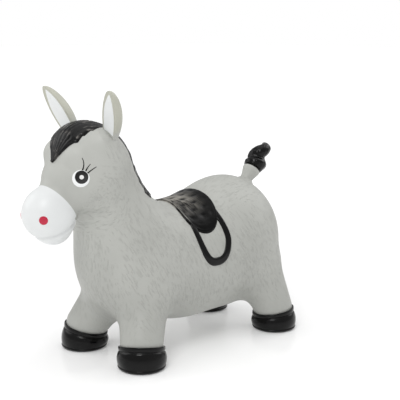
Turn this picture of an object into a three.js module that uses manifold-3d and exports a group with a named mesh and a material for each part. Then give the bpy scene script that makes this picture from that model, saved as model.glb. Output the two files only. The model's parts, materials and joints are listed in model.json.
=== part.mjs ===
// Bouncy horse hopper: a hollow PVC skin that is blown up through a valve under the belly.
// Millimetres, +Z up. It faces -Y, its own left is +X, and its hooves stand on Z = 0.
// The skin is one flowing form, so it is described as blended round masses and then cut at its
// seams into barrel, neck, head, muzzle and legs. Trim is draped over that same form.
import * as THREE from "three";
import { mergeVertices } from "three/addons/utils/BufferGeometryUtils.js";
import Module from "manifold-3d";

const wasm = await Module();
wasm.setup();

// Skin
const SKIN_WALL = 2.2;
const SEAM_GAP = 0.3;
const BODY_FACET = 24;
const HEAD_FACET = 15;

// Barrel: chest, belly and rump are round masses along the back
const CHEST_AHEAD = 140;
const CHEST_HEIGHT = 181;
const CHEST_HALF_WIDTH = 100;
const CHEST_HALF_LENGTH = 99;
const CHEST_HALF_HEIGHT = 110;
const BELLY_BEHIND = 0;
const BELLY_HEIGHT = 164;
const BELLY_HALF_WIDTH = 108;
const BELLY_HALF_LENGTH = 186;
const BELLY_HALF_HEIGHT = 121;
const RUMP_BEHIND = 117;
const RUMP_HEIGHT = 186;
const RUMP_HALF_WIDTH = 118;
const RUMP_HALF_LENGTH = 114;
const RUMP_HALF_HEIGHT = 130;
const BARREL_FILLET = 50;

// Legs: each tapers from shoulder or hip to the ankle and splays outwards
const SHOULDER_OUT = 45;
const SHOULDER_AHEAD = 144;
const SHOULDER_HEIGHT = 120;
const SHOULDER_RADIUS = 48;
const FRONT_ANKLE_OUT = 81;
const FRONT_ANKLE_AHEAD = 181;
const FRONT_ANKLE_HEIGHT = 46;
const HIP_OUT = 73;
const HIP_BEHIND = 147;
const HIP_HEIGHT = 128;
const HIP_RADIUS = 47;
const HIND_ANKLE_OUT = 95;
const HIND_ANKLE_BEHIND = 170;
const HIND_ANKLE_HEIGHT = 46;
const ANKLE_RADIUS = 40;
const LEG_FILLET = 30;
const LEG_TUBE_LENGTH = 45;
const LEG_SEAM_TILT = 0.3;

// Hooves: a cup with a coronet band, a rounded wall, a welt and a flat sole
const HOOF_RADIUS = 46.5;
const HOOF_HEIGHT = 40;
const HOOF_TILT_SHARE = 0.4;
const HOOF_WALL = 3;
const CORONET_DROP = 6;
const CORONET_HEIGHT = 8;
const CORONET_PROUD = 3;
const HOOF_GROOVE = 1.6;
const WELT_HEIGHT = 6;
const SOLE_ROUNDING = 6;
const EDGE_ROUNDING = 1;

// Neck and head
const NECK_BASE_AHEAD = 136;
const NECK_BASE_HEIGHT = 183;
const NECK_BASE_RADIUS = 83;
const NECK_TOP_AHEAD = 219;
const NECK_TOP_HEIGHT = 356;
const NECK_TOP_RADIUS = 66;
const NECK_FILLET = 45;
const CRANIUM_AHEAD = 241;
const CRANIUM_HEIGHT = 374;
const CRANIUM_HALF_WIDTH = 67;
const CRANIUM_HALF_LENGTH = 58;
const CRANIUM_HALF_HEIGHT = 69;
const BRIDGE_AHEAD = 277;
const BRIDGE_HEIGHT = 345;
const BRIDGE_RADIUS = 50;
const BROW_OUT = 32;
const BROW_AHEAD = 280;
const BROW_HEIGHT = 395;
const BROW_RADIUS = 22;
const BROW_FILLET = 12;
const HEAD_FILLET = 30;
const MUZZLE_AHEAD = 321;
const MUZZLE_HEIGHT = 297;
const MUZZLE_HALF_WIDTH = 45;
const MUZZLE_HALF_LENGTH = 51;
const MUZZLE_HALF_HEIGHT = 49;
const MUZZLE_FILLET = 14;
const CHIN_AHEAD = 315;
const CHIN_HEIGHT = 272;
const CHIN_RADIUS = 33;
const LIP_FILLET = 9;

// Seams that cross the middle of the body: where each one lies, and its lean from upright
const MUZZLE_SEAM_BACK = 13;
const MUZZLE_SEAM_RISE = 18;
const MUZZLE_SEAM_LEAN = -38;
const HEAD_SEAM_AHEAD = 221;
const HEAD_SEAM_HEIGHT = 365;
const HEAD_SEAM_LEAN = 14;
const NECK_SEAM_AHEAD = 150;
const NECK_SEAM_HEIGHT = 241;
const NECK_SEAM_LEAN = 62;

// Ears: cupped leaves, each on a ball root that flexes in a socket of the head
const EAR_ROOT_ANGLE = 46;
const EAR_ROOT_BACK_ANGLE = 11;
const EAR_ROOT_SINK = 1;
const EAR_ROOT_RADIUS = 15;
const EAR_LENGTH = 100;
const EAR_HALF_WIDTH = 21.5;
const EAR_DEPTH = 23;
const EAR_ROUNDNESS = 0.6;
const EAR_ROOT_SHARE = 0.1;
const EAR_CUP = 5;
const EAR_CUP_WIDTH = 0.7;
const EAR_SPLAY = 25;
const EAR_FORWARD_LEAN = 18;

// Tail: a stub on a ball root, with a twisted tuft
const TAIL_ROOT_ANGLE = 59;
const TAIL_ROOT_RISE = 3;
const TAIL_LIFT = 48;
const TAIL_ROOT_RADIUS = 14;
const STUB_LENGTH = 34;
const STUB_WAIST_RADIUS = 12.5;
const STUB_END_RADIUS = 19;
const TUFT_LENGTH = 72;
const TUFT_RADIUS = 23;
const TUFT_SWELL_SHARE = 0.7;
const TUFT_LOCKS = 3;
const TUFT_LOCK_DEPTH = 3;
const TUFT_TWIST = 150;

// Hair relief
const MANE_RISE = 3.5;
const MANE_HALF_ANGLE = 42;
const MANE_LOCKS = 6;
const MANE_LOCK_REACH = 7;
const MANE_START = 0.5;
const MANE_NECK_SHARE = 0.6;
const MANE_CROWN_ANGLE = 82;
const MANE_CROWN_HALF_ANGLE = 23;
const FORELOCK_RISE = 3.5;
const FORELOCK_HALF_ANGLE = 30;
const FORELOCK_START_ANGLE = -4;
const FORELOCK_TIP_ANGLE = 82;
const FORELOCK_TIP_SHARE = 0.45;
const FORELOCK_TIP_HALF_ANGLE = 1;
const FORELOCK_LOCKS = 5;
const FORELOCK_LOCK_REACH = 2.5;

// Saddle and stirrups, draped over the barrel about a line at the saddle's axis height
const SADDLE_AXIS_HEIGHT = 163;
const SADDLE_MIDDLE_AHEAD = 21;
const SADDLE_HALF_LENGTH = 49;
const SADDLE_HALF_ANGLE = 55;
const SADDLE_SQUARENESS = 2.5;
const SADDLE_RISE = 3;
const STIRRUP_RISE = 2.4;
const STIRRUP_HALF_LENGTH = 38;
const STIRRUP_TOP_ANGLE = 40;
const STIRRUP_BOTTOM_ANGLE = 84;
const STIRRUP_MIDDLE_AHEAD = 8;
const STIRRUP_STRAP_WIDTH = 12.5;
const STIRRUP_TREAD_WIDTH = 17;
const STIRRUP_SQUARENESS = 0.7;
const STIRRUP_STEPS = 24;

// Face
const EYE_AHEAD_OF_BRIDGE = 14;
const EYE_ABOVE_BRIDGE = 15;
const EYE_RADIUS = 15.5;
const EYE_RISE = 1.6;
const NOSTRIL_OUT = 30;
const NOSTRIL_DROP = 4;
const NOSTRIL_RADIUS = 7.8;
const NOSTRIL_RISE = 0.9;

// Valve under the belly
const VALVE_BEHIND = 10;
const VALVE_BORE_RADIUS = 5;
const VALVE_NECK_RADIUS = 9;
const VALVE_FLANGE_RADIUS = 14;
const VALVE_FLANGE_THICKNESS = 1.8;
const VALVE_COLLAR_GAP = 1.5;
const PLUG_HEAD_RADIUS = 10;
const PLUG_HEAD_THICKNESS = 2.6;
const PLUG_STEM_LENGTH = 15;
const PLUG_NOSE_TAPER = 1.5;

// How finely round pieces are faceted
const ROUND_SIDES = 18;
const SOCKET_SIDES = 14;
const FAR = 1200;
const DEGREE = Math.PI / 180;

// Round masses: each is a function that gives a point's distance from its surface
function ellipsoid([cx, cy, cz], [rx, ry, rz]) {
  return (x, y, z) => {
    const ux = (x - cx) / rx;
    const uy = (y - cy) / ry;
    const uz = (z - cz) / rz;
    const reach = Math.hypot(ux, uy, uz);
    const slope = Math.hypot(ux / rx, uy / ry, uz / rz);
    return slope > 0 ? (reach * (reach - 1)) / slope : -Math.min(rx, ry, rz);
  };
}

function taper(from, to, fromRadius, toRadius) {
  const along = to.map((value, i) => value - from[i]);
  const square = along.reduce((sum, value) => sum + value * value, 0);
  return (x, y, z) => {
    const [dx, dy, dz] = [x - from[0], y - from[1], z - from[2]];
    const share = (dx * along[0] + dy * along[1] + dz * along[2]) / square;
    const t = Math.min(Math.max(share, 0), 1);
    const gap = Math.hypot(dx - along[0] * t, dy - along[1] * t, dz - along[2] * t);
    return gap - fromRadius - (toRadius - fromRadius) * t;
  };
}

function blend(fillet, first, ...others) {
  return (x, y, z) => {
    let near = first(x, y, z);
    for (const form of others) {
      const next = form(x, y, z);
      const overlap = Math.max(fillet - Math.abs(near - next), 0) / fillet;
      near = Math.min(near, next) - (overlap * overlap * fillet) / 4;
    }
    return near;
  };
}

const paired = (form) => (x, y, z) => form(Math.abs(x), y, z);

// Leg axes, left side
const SHOULDER = [SHOULDER_OUT, -SHOULDER_AHEAD, SHOULDER_HEIGHT];
const FRONT_ANKLE = [FRONT_ANKLE_OUT, -FRONT_ANKLE_AHEAD, FRONT_ANKLE_HEIGHT];
const HIP = [HIP_OUT, HIP_BEHIND, HIP_HEIGHT];
const HIND_ANKLE = [HIND_ANKLE_OUT, HIND_ANKLE_BEHIND, HIND_ANKLE_HEIGHT];
const NECK_BASE = [0, -NECK_BASE_AHEAD, NECK_BASE_HEIGHT];
const NECK_TOP = [0, -NECK_TOP_AHEAD, NECK_TOP_HEIGHT];
const CRANIUM = [0, -CRANIUM_AHEAD, CRANIUM_HEIGHT];

// The whole skin as one form
function skinForm() {
  const chest = ellipsoid(
    [0, -CHEST_AHEAD, CHEST_HEIGHT],
    [CHEST_HALF_WIDTH, CHEST_HALF_LENGTH, CHEST_HALF_HEIGHT],
  );
  const belly = ellipsoid(
    [0, BELLY_BEHIND, BELLY_HEIGHT],
    [BELLY_HALF_WIDTH, BELLY_HALF_LENGTH, BELLY_HALF_HEIGHT],
  );
  const rump = ellipsoid(
    [0, RUMP_BEHIND, RUMP_HEIGHT],
    [RUMP_HALF_WIDTH, RUMP_HALF_LENGTH, RUMP_HALF_HEIGHT],
  );
  const frontLegs = paired(taper(SHOULDER, FRONT_ANKLE, SHOULDER_RADIUS, ANKLE_RADIUS));
  const hindLegs = paired(taper(HIP, HIND_ANKLE, HIP_RADIUS, ANKLE_RADIUS));
  const neck = taper(NECK_BASE, NECK_TOP, NECK_BASE_RADIUS, NECK_TOP_RADIUS);
  const cranium = ellipsoid(CRANIUM, [CRANIUM_HALF_WIDTH, CRANIUM_HALF_LENGTH, CRANIUM_HALF_HEIGHT]);
  const bridge = taper(CRANIUM, [0, -BRIDGE_AHEAD, BRIDGE_HEIGHT], CRANIUM_HALF_WIDTH, BRIDGE_RADIUS);
  const brow = taper(
    [BROW_OUT, -BROW_AHEAD, BROW_HEIGHT],
    [BROW_OUT, -CRANIUM_AHEAD, BROW_HEIGHT],
    BROW_RADIUS,
    BROW_RADIUS,
  );
  const muzzleBulb = ellipsoid(
    [0, -MUZZLE_AHEAD, MUZZLE_HEIGHT],
    [MUZZLE_HALF_WIDTH, MUZZLE_HALF_LENGTH, MUZZLE_HALF_HEIGHT],
  );
  const chin = ellipsoid([0, -CHIN_AHEAD, CHIN_HEIGHT], [CHIN_RADIUS, CHIN_RADIUS, CHIN_RADIUS]);
  const barrel = blend(BARREL_FILLET, chest, belly, rump);
  const trunk = blend(NECK_FILLET, blend(LEG_FILLET, barrel, frontLegs, hindLegs), neck);
  const skull = blend(BROW_FILLET, blend(HEAD_FILLET, cranium, bridge), paired(brow));
  const muzzle = blend(LIP_FILLET, muzzleBulb, chin);
  return blend(MUZZLE_FILLET, blend(HEAD_FILLET, trunk, skull), muzzle);
}

const skin = skinForm();

// Reading the form: its slope, and points moved onto one of its levels
function slopeAt(form, [x, y, z]) {
  const step = 0.5;
  return new THREE.Vector3(
    form(x + step, y, z) - form(x - step, y, z),
    form(x, y + step, z) - form(x, y - step, z),
    form(x, y, z + step) - form(x, y, z - step),
  ).divideScalar(2 * step);
}

function settled(form, start) {
  const point = new THREE.Vector3(...start);
  for (let pass = 0; pass < 5; pass += 1) {
    const slope = slopeAt(form, point.toArray());
    point.addScaledVector(slope, -form(...point) / slope.lengthSq());
  }
  return point.toArray();
}

// The outermost point of a ray from inside the skin that stands this high above it
function raised(origin, direction, rise) {
  const ray = new THREE.Vector3(...direction).normalize();
  const point = new THREE.Vector3(...origin).addScaledVector(ray, FAR / 2);
  for (let pass = 0; pass < 120; pass += 1) {
    point.addScaledVector(ray, 0.7 * (rise - skin(...point)));
  }
  return point.toArray();
}

// Solids from points and triangles, from geometries, and back again
function solidOf(points, triangles) {
  return new wasm.Manifold(new wasm.Mesh({
    numProp: 3,
    vertProperties: new Float32Array(points.flat()),
    triVerts: new Uint32Array(triangles.flat()),
  }));
}

function solidFrom(geometry) {
  const bare = geometry.clone();
  bare.deleteAttribute("normal");
  bare.deleteAttribute("uv");
  const merged = mergeVertices(bare, 1e-4);
  const corners = merged.index.array;
  const triangles = [];
  for (let i = 0; i < corners.length; i += 3) {
    const [a, b, c] = corners.subarray(i, i + 3);
    if (a !== b && b !== c && c !== a) triangles.push(a, b, c);
  }
  return new wasm.Manifold(new wasm.Mesh({
    numProp: 3,
    vertProperties: merged.attributes.position.array,
    triVerts: new Uint32Array(triangles),
  }));
}

function geometryOf(solid) {
  const { vertProperties, triVerts } = solid.getMesh();
  const geometry = new THREE.BufferGeometry();
  geometry.setAttribute("position", new THREE.BufferAttribute(new Float32Array(vertProperties), 3));
  geometry.setIndex(new THREE.BufferAttribute(new Uint32Array(triVerts), 1));
  geometry.computeVertexNormals();
  return geometry;
}

function mirroredGeometry(geometry) {
  const other = geometry.clone().scale(-1, 1, 1);
  const index = other.index.array;
  for (let i = 0; i < index.length; i += 3) {
    [index[i + 1], index[i + 2]] = [index[i + 2], index[i + 1]];
  }
  other.computeVertexNormals();
  return other;
}

// A net of quads over the zero surface of a form: one point in each cell that the surface crosses,
// and one quad round each grid edge that it crosses
function netOver(form, low, high, cell) {
  const [nx, ny, nz] = low.map((value, i) => Math.ceil((high[i] - value) / cell) + 1);
  const steps = [1, nx, nx * ny];
  const place = (i, j, k) => [low[0] + i * cell, low[1] + j * cell, low[2] + k * cell];
  const depth = new Float64Array(nx * ny * nz);
  const nodes = [];
  for (let k = 0; k < nz; k += 1) {
    for (let j = 0; j < ny; j += 1) {
      for (let i = 0; i < nx; i += 1) {
        nodes.push([i, j, k]);
        depth[nodes.length - 1] = form(...place(i, j, k));
      }
    }
  }
  const inner = nodes.map(([i, j, k]) => i < nx - 1 && j < ny - 1 && k < nz - 1);
  const points = [];
  const slot = new Map();
  nodes.forEach((node, n) => {
    if (!inner[n]) return;
    const cut = cellCrossing(depth, n, steps);
    if (!cut) return;
    slot.set(n, points.length);
    points.push(settled(form, place(...node.map((value, axis) => value + cut[axis]))));
  });
  const triangles = [];
  nodes.forEach((node, n) => {
    for (let axis = 0; axis < 3; axis += 1) {
      const b = steps[(axis + 1) % 3];
      const c = steps[(axis + 2) % 3];
      if (!inner[n] || depth[n] < 0 === depth[n + steps[axis]] < 0) continue;
      const ring = [n - b - c, n - c, n, n - b].map((corner) => slot.get(corner));
      if (depth[n] >= 0) ring.reverse();
      triangles.push(...splitQuad(points, ring));
    }
  });
  return { points, triangles, normals: points.map((point) => slopeAt(form, point).normalize()) };
}

// The mean of the points where the edges of one grid cell cross the surface
function cellCrossing(depth, n, steps) {
  const sum = [0, 0, 0];
  let count = 0;
  for (let axis = 0; axis < 3; axis += 1) {
    const [b, c] = [(axis + 1) % 3, (axis + 2) % 3];
    for (const [onB, onC] of [[0, 0], [1, 0], [0, 1], [1, 1]]) {
      const from = n + onB * steps[b] + onC * steps[c];
      const [start, end] = [depth[from], depth[from + steps[axis]]];
      if (start < 0 === end < 0) continue;
      sum[axis] += start / (start - end);
      sum[b] += onB;
      sum[c] += onC;
      count += 1;
    }
  }
  return count > 0 ? sum.map((value) => value / count) : null;
}

function splitQuad(points, [a, b, c, d]) {
  const span = (p, q) => Math.hypot(...points[p].map((value, i) => value - points[q][i]));
  return span(a, c) < span(b, d) ? [[a, b, c], [a, c, d]] : [[a, b, d], [b, c, d]];
}

// A net moved along its normals: 0 is the skin's outside, less is inside the wall
function netSolid(net, shift) {
  const points = net.points.map((point, i) => {
    return new THREE.Vector3(...point).addScaledVector(net.normals[i], shift).toArray();
  });
  return solidOf(points, net.triangles);
}

// Seams: planes across the body, and the half of space on either side
function seamAt(ahead, height, lean) {
  const normal = new THREE.Vector3(0, -Math.cos(lean * DEGREE), Math.sin(lean * DEGREE));
  return { point: new THREE.Vector3(0, -ahead, height), normal };
}

function halfSpace({ point, normal }, shift = 0) {
  const geometry = new THREE.BoxGeometry(2 * FAR, 2 * FAR, 2 * FAR).translate(0, 0, FAR);
  const turn = new THREE.Quaternion().setFromUnitVectors(new THREE.Vector3(0, 0, 1), normal);
  geometry.applyQuaternion(turn);
  const corner = point.clone().addScaledVector(normal, shift);
  return solidFrom(geometry.translate(...corner));
}

const reversed = ({ point, normal }) => ({ point, normal: normal.clone().negate() });
const ahead = (solid, seam) => solid.intersect(halfSpace(seam, SEAM_GAP / 2));
const behind = (solid, seam) => solid.intersect(halfSpace(reversed(seam), SEAM_GAP / 2));
const depthAhead = ({ point, normal }) => (x, y, z) => {
  return (x - point.x) * normal.x + (y - point.y) * normal.y + (z - point.z) * normal.z;
};

function ball(centre, radius) {
  return solidFrom(new THREE.SphereGeometry(radius, SOCKET_SIDES, SOCKET_SIDES / 2).translate(...centre));
}

// A socket's flat facets stay clear of the ball that turns in it
function socket(centre, ballRadius) {
  return ball(centre, (ballRadius + SEAM_GAP) / Math.cos(Math.PI / SOCKET_SIDES) ** 2);
}

// Legs and hooves, left side: a hoof leans with its leg only in part, so that its sole meets the floor
const legAxis = (top, ankle) => {
  return new THREE.Vector3(...ankle).sub(new THREE.Vector3(...top)).normalize();
};

const hoofAxis = (top, ankle) => {
  return new THREE.Vector3(0, 0, -1).lerp(legAxis(top, ankle), HOOF_TILT_SHARE).normalize();
};

const coronetMiddle = (top, ankle) => {
  return new THREE.Vector3(...ankle).addScaledVector(hoofAxis(top, ankle), CORONET_DROP);
};

function legSeams(top, ankle) {
  const axis = legAxis(top, ankle);
  const coronet = { point: coronetMiddle(top, ankle), normal: hoofAxis(top, ankle) };
  const slant = axis.clone().add(new THREE.Vector3(LEG_SEAM_TILT, 0, 0)).normalize();
  const root = {
    point: new THREE.Vector3(...ankle).addScaledVector(axis, -LEG_TUBE_LENGTH),
    normal: slant,
  };
  return { coronet, root };
}

const leftHalf = { point: new THREE.Vector3(), normal: new THREE.Vector3(1, 0, 0) };
const frontHalf = { point: new THREE.Vector3(), normal: new THREE.Vector3(0, -1, 0) };
const hindHalf = reversed(frontHalf);
const aboveFloor = { point: new THREE.Vector3(), normal: new THREE.Vector3(0, 0, 1) };

const frontSeams = legSeams(SHOULDER, FRONT_ANKLE);
const hindSeams = legSeams(HIP, HIND_ANKLE);

// The space that one leg and its hoof take below the leg's root seam
function legSpace(seams, end, shift) {
  return halfSpace(seams.root, shift).intersect(halfSpace(leftHalf)).intersect(halfSpace(end));
}

function hoofSolid(top, ankle) {
  const axis = hoofAxis(top, ankle);
  const bandRadius = ANKLE_RADIUS + CORONET_PROUD;
  const wallTop = CORONET_HEIGHT + HOOF_GROOVE;
  const weltTop = HOOF_HEIGHT - WELT_HEIGHT;
  const outside = [
    [0, 0],
    [bandRadius - EDGE_ROUNDING, 0],
    [bandRadius, EDGE_ROUNDING],
    [bandRadius, CORONET_HEIGHT - EDGE_ROUNDING],
    [bandRadius - HOOF_GROOVE, CORONET_HEIGHT],
    [bandRadius, wallTop],
    [HOOF_RADIUS, (wallTop + weltTop) / 2],
    [HOOF_RADIUS - HOOF_GROOVE, weltTop],
    [HOOF_RADIUS, weltTop + HOOF_GROOVE],
    [HOOF_RADIUS - EDGE_ROUNDING, HOOF_HEIGHT - SOLE_ROUNDING / 2],
    [HOOF_RADIUS - SOLE_ROUNDING, HOOF_HEIGHT],
    [0, HOOF_HEIGHT],
  ];
  const hollow = [
    [0, -SEAM_GAP],
    [ANKLE_RADIUS - SKIN_WALL, -SEAM_GAP],
    [ANKLE_RADIUS - SKIN_WALL, wallTop],
    [HOOF_RADIUS - HOOF_WALL - SOLE_ROUNDING, HOOF_HEIGHT - HOOF_WALL],
    [0, HOOF_HEIGHT - HOOF_WALL],
  ];
  const turn = new THREE.Quaternion().setFromUnitVectors(new THREE.Vector3(0, 0, -1), axis);
  const start = coronetMiddle(top, ankle).addScaledVector(axis, SEAM_GAP / 2);
  const turnedCup = (profile) => {
    const points = profile.map(([r, t]) => new THREE.Vector2(r, -t)).reverse();
    const cup = new THREE.LatheGeometry(points, ROUND_SIDES).rotateX(Math.PI / 2);
    return solidFrom(cup.applyQuaternion(turn).translate(...start));
  };
  const cavity = turnedCup(hollow).intersect(halfSpace(aboveFloor, HOOF_WALL));
  return turnedCup(outside).intersect(halfSpace(aboveFloor)).subtract(cavity);
}

// A closed sheet draped over the skin: a flat chart of points, lifted to a rise and sunk below
function drapedSheet({ chart, triangles, rim, lift, rise, cutters }) {
  const count = chart.length;
  const top = chart.map((spot) => lift(spot, rise(spot)));
  const base = chart.map((spot) => lift(spot, -SKIN_WALL));
  const faces = triangles.flatMap(([a, b, c]) => [[a, b, c], [a + count, c + count, b + count]]);
  rim.forEach((a, i) => {
    const b = rim[(i + 1) % rim.length];
    faces.push([a, a + count, b], [b, a + count, b + count]);
  });
  const sheet = solidOf([...top, ...base], faces);
  return cutters.reduce((solid, cutter) => solid.subtract(cutter), sheet);
}

// Charts: a strip of rows and columns, and a disc of rings round a middle point
function stripChart(rows, columns, spot) {
  const wide = columns + 1;
  const chart = [];
  const triangles = [];
  for (let row = 0; row <= rows; row += 1) {
    for (let column = 0; column <= columns; column += 1) {
      chart.push(spot(row / rows, (2 * column) / columns - 1));
    }
  }
  for (let row = 0; row < rows; row += 1) {
    for (let column = 0; column < columns; column += 1) {
      const a = row * wide + column;
      triangles.push([a, a + 1, a + wide + 1], [a, a + wide + 1, a + wide]);
    }
  }
  const first = Array.from({ length: columns }, (_, i) => i);
  const right = Array.from({ length: rows }, (_, i) => i * wide + columns);
  const last = Array.from({ length: columns }, (_, i) => rows * wide + columns - i);
  const left = Array.from({ length: rows }, (_, i) => (rows - i) * wide);
  return { chart, triangles, rim: [...first, ...right, ...last, ...left] };
}

function discChart(rings, spokes, spot) {
  const chart = [spot(0, 0)];
  const triangles = [];
  const at = (ring, spoke) => 1 + (ring - 1) * spokes + (spoke % spokes);
  for (let ring = 1; ring <= rings; ring += 1) {
    for (let spoke = 0; spoke < spokes; spoke += 1) {
      chart.push(spot(ring / rings, (2 * Math.PI * spoke) / spokes));
      const [a, b] = [at(ring, spoke), at(ring, spoke + 1)];
      const [c, d] = [at(ring - 1, spoke), at(ring - 1, spoke + 1)];
      triangles.push(...(ring === 1 ? [[0, a, b]] : [[c, a, b], [c, b, d]]));
    }
  }
  return { chart, triangles, rim: Array.from({ length: spokes }, (_, i) => at(rings, i)) };
}

// Nets over the skin, the head's finer than the body's, which end a little past the head seam
const muzzleSeam = seamAt(
  MUZZLE_AHEAD - MUZZLE_SEAM_BACK,
  MUZZLE_HEIGHT + MUZZLE_SEAM_RISE,
  MUZZLE_SEAM_LEAN,
);
const headSeam = seamAt(HEAD_SEAM_AHEAD, HEAD_SEAM_HEIGHT, HEAD_SEAM_LEAN);
const neckSeam = seamAt(NECK_SEAM_AHEAD, NECK_SEAM_HEIGHT, NECK_SEAM_LEAN);
const pollSeam = seamAt(CRANIUM_AHEAD, CRANIUM_HEIGHT, 0);

function skinNet(side, cell) {
  const pastSeam = depthAhead(headSeam);
  const form = (x, y, z) => Math.max(skin(x, y, z), side * pastSeam(x, y, z) - 2 * cell);
  const half = Math.ceil((CHEST_HALF_WIDTH + RUMP_HALF_WIDTH) / cell) * cell;
  const reach = MUZZLE_AHEAD + MUZZLE_HALF_LENGTH + 2 * cell;
  const top = CRANIUM_HEIGHT + CRANIUM_HALF_HEIGHT + 2 * cell;
  const back = RUMP_BEHIND + RUMP_HALF_LENGTH + 2 * cell;
  return netOver(form, [-half, -reach, -2 * cell], [half, back, top], cell);
}

const bodyNet = skinNet(1, BODY_FACET);
const headNet = skinNet(-1, HEAD_FACET);
const shellOf = (net) => netSolid(net, 0).subtract(netSolid(net, -SKIN_WALL));
const bodyShell = shellOf(bodyNet);
const headShell = shellOf(headNet);
const bodyCutter = netSolid(bodyNet, SEAM_GAP);
const headCutter = netSolid(headNet, SEAM_GAP);

// Ears: leaves lofted along their length, open to the front
const EAR_ROOT = raised(
  CRANIUM,
  [
    Math.sin(EAR_ROOT_ANGLE * DEGREE),
    Math.cos(EAR_ROOT_ANGLE * DEGREE) * Math.sin(EAR_ROOT_BACK_ANGLE * DEGREE),
    Math.cos(EAR_ROOT_ANGLE * DEGREE) * Math.cos(EAR_ROOT_BACK_ANGLE * DEGREE),
  ],
  -EAR_ROOT_SINK,
);

function loft(sections, tip) {
  const around = sections[0].length;
  const points = [...sections.flat(), tip];
  const triangles = [];
  for (let row = 0; row < sections.length; row += 1) {
    for (let i = 0; i < around; i += 1) {
      const [a, b] = [row * around + i, row * around + ((i + 1) % around)];
      const quad = [[a, b, b + around], [a, b + around, a + around]];
      triangles.push(...(row === sections.length - 1 ? [[a, b, points.length - 1]] : quad));
    }
  }
  for (let i = 1; i < around - 1; i += 1) triangles.push([0, i + 1, i]);
  return solidOf(points, triangles);
}

function earSolid() {
  const rows = 8;
  const around = 8;
  const leaf = (t) => {
    return Math.sin(Math.PI * (EAR_ROOT_SHARE + (1 - EAR_ROOT_SHARE) * t)) ** EAR_ROUNDNESS;
  };
  const sections = Array.from({ length: rows }, (_, row) => {
    const t = row / rows;
    const width = EAR_HALF_WIDTH * leaf(t);
    const depth = EAR_DEPTH * leaf(t);
    const back = Array.from({ length: around + 1 }, (_, i) => {
      const angle = (Math.PI * i) / around;
      return [width * Math.cos(angle), depth * Math.sin(angle), t * EAR_LENGTH];
    });
    const cup = [-EAR_CUP_WIDTH, 0, EAR_CUP_WIDTH].map((share) => {
      return [width * share, EAR_CUP * leaf(t) * Math.sqrt(t) * (1 - share * share), t * EAR_LENGTH];
    });
    return [...back, ...cup];
  });
  const leafSolid = loft(sections, [0, 0, EAR_LENGTH]);
  const whole = leafSolid.add(ball([0, 0, 0], EAR_ROOT_RADIUS));
  const geometry = geometryOf(whole);
  geometry.rotateX(EAR_FORWARD_LEAN * DEGREE).rotateY(EAR_SPLAY * DEGREE);
  return geometry.translate(...EAR_ROOT);
}

// Tail: a stub that widens to the tuft, and a tuft of twisted locks
const TAIL_ROOT = raised(
  [0, RUMP_BEHIND, RUMP_HEIGHT],
  [0, Math.cos(TAIL_ROOT_ANGLE * DEGREE), Math.sin(TAIL_ROOT_ANGLE * DEGREE)],
  TAIL_ROOT_RISE,
);
const alongTail = (geometry) => geometry.rotateX((TAIL_LIFT - 90) * DEGREE).translate(...TAIL_ROOT);

function tailStub() {
  const profile = [
    [0, 0],
    [STUB_WAIST_RADIUS, 0],
    [STUB_WAIST_RADIUS, STUB_LENGTH / 2],
    [STUB_END_RADIUS, STUB_LENGTH],
    [0, STUB_LENGTH],
  ].map(([r, t]) => new THREE.Vector2(r, t));
  const stem = solidFrom(new THREE.LatheGeometry(profile, SOCKET_SIDES).rotateX(Math.PI / 2));
  const stub = stem.add(ball([0, 0, 0], TAIL_ROOT_RADIUS));
  return alongTail(geometryOf(stub));
}

function tailTuft() {
  const rows = 9;
  const around = 6 * TUFT_LOCKS;
  const start = STUB_LENGTH + SEAM_GAP;
  const sections = Array.from({ length: rows }, (_, row) => {
    const t = row / rows;
    const swell = Math.sin(Math.PI * Math.min(t / TUFT_SWELL_SHARE, 1));
    const girth = STUB_END_RADIUS + (TUFT_RADIUS - STUB_END_RADIUS) * swell;
    const radius = girth * Math.sqrt(1 - t ** 3);
    return Array.from({ length: around }, (_, i) => {
      const angle = (2 * Math.PI * i) / around;
      const lock = Math.cos(TUFT_LOCKS * (angle - TUFT_TWIST * DEGREE * t));
      const reach = radius + TUFT_LOCK_DEPTH * Math.sin(Math.PI * t) * lock;
      return [reach * Math.cos(angle), reach * Math.sin(angle), start + t * TUFT_LENGTH];
    });
  });
  return alongTail(geometryOf(loft(sections, [0, 0, start + TUFT_LENGTH])));
}

// Hair: the mane runs up the back of the neck to the poll, the forelock from there to the forehead
const saw = (t) => t - Math.floor(t);

function maneSolid() {
  const neckAxis = new THREE.Vector3(...NECK_TOP).sub(new THREE.Vector3(...NECK_BASE));
  const neckLean = Math.atan2(-neckAxis.y, neckAxis.z) / DEGREE;
  const overCrown = (t) => Math.max((t - MANE_NECK_SHARE) / (1 - MANE_NECK_SHARE), 0);
  const lift = ([t, angle], rise) => {
    const along = Math.min(MANE_START + (1 - MANE_START) * (t / MANE_NECK_SHARE), 1);
    const lean = neckLean + MANE_CROWN_ANGLE * overCrown(t);
    const origin = new THREE.Vector3(...NECK_BASE).addScaledVector(neckAxis, along);
    const [side, back] = [Math.sin(angle * DEGREE), Math.cos(angle * DEGREE)];
    const ray = [side, back * Math.cos(lean * DEGREE), back * Math.sin(lean * DEGREE)];
    return raised(origin.toArray(), ray, rise);
  };
  const narrowing = MANE_HALF_ANGLE - MANE_CROWN_HALF_ANGLE;
  const edge = (t) => {
    const lock = MANE_LOCK_REACH * (saw(t * MANE_LOCKS) - 0.5);
    return MANE_HALF_ANGLE - narrowing * Math.min(2 * overCrown(t), 1) + lock * (1 - overCrown(t));
  };
  const sheet = stripChart(3 * MANE_LOCKS, 5, (t, across) => [t, -across * edge(t)]);
  const cutters = [bodyCutter, headCutter];
  return behind(drapedSheet({ ...sheet, lift, rise: () => MANE_RISE, cutters }), pollSeam);
}

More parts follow.
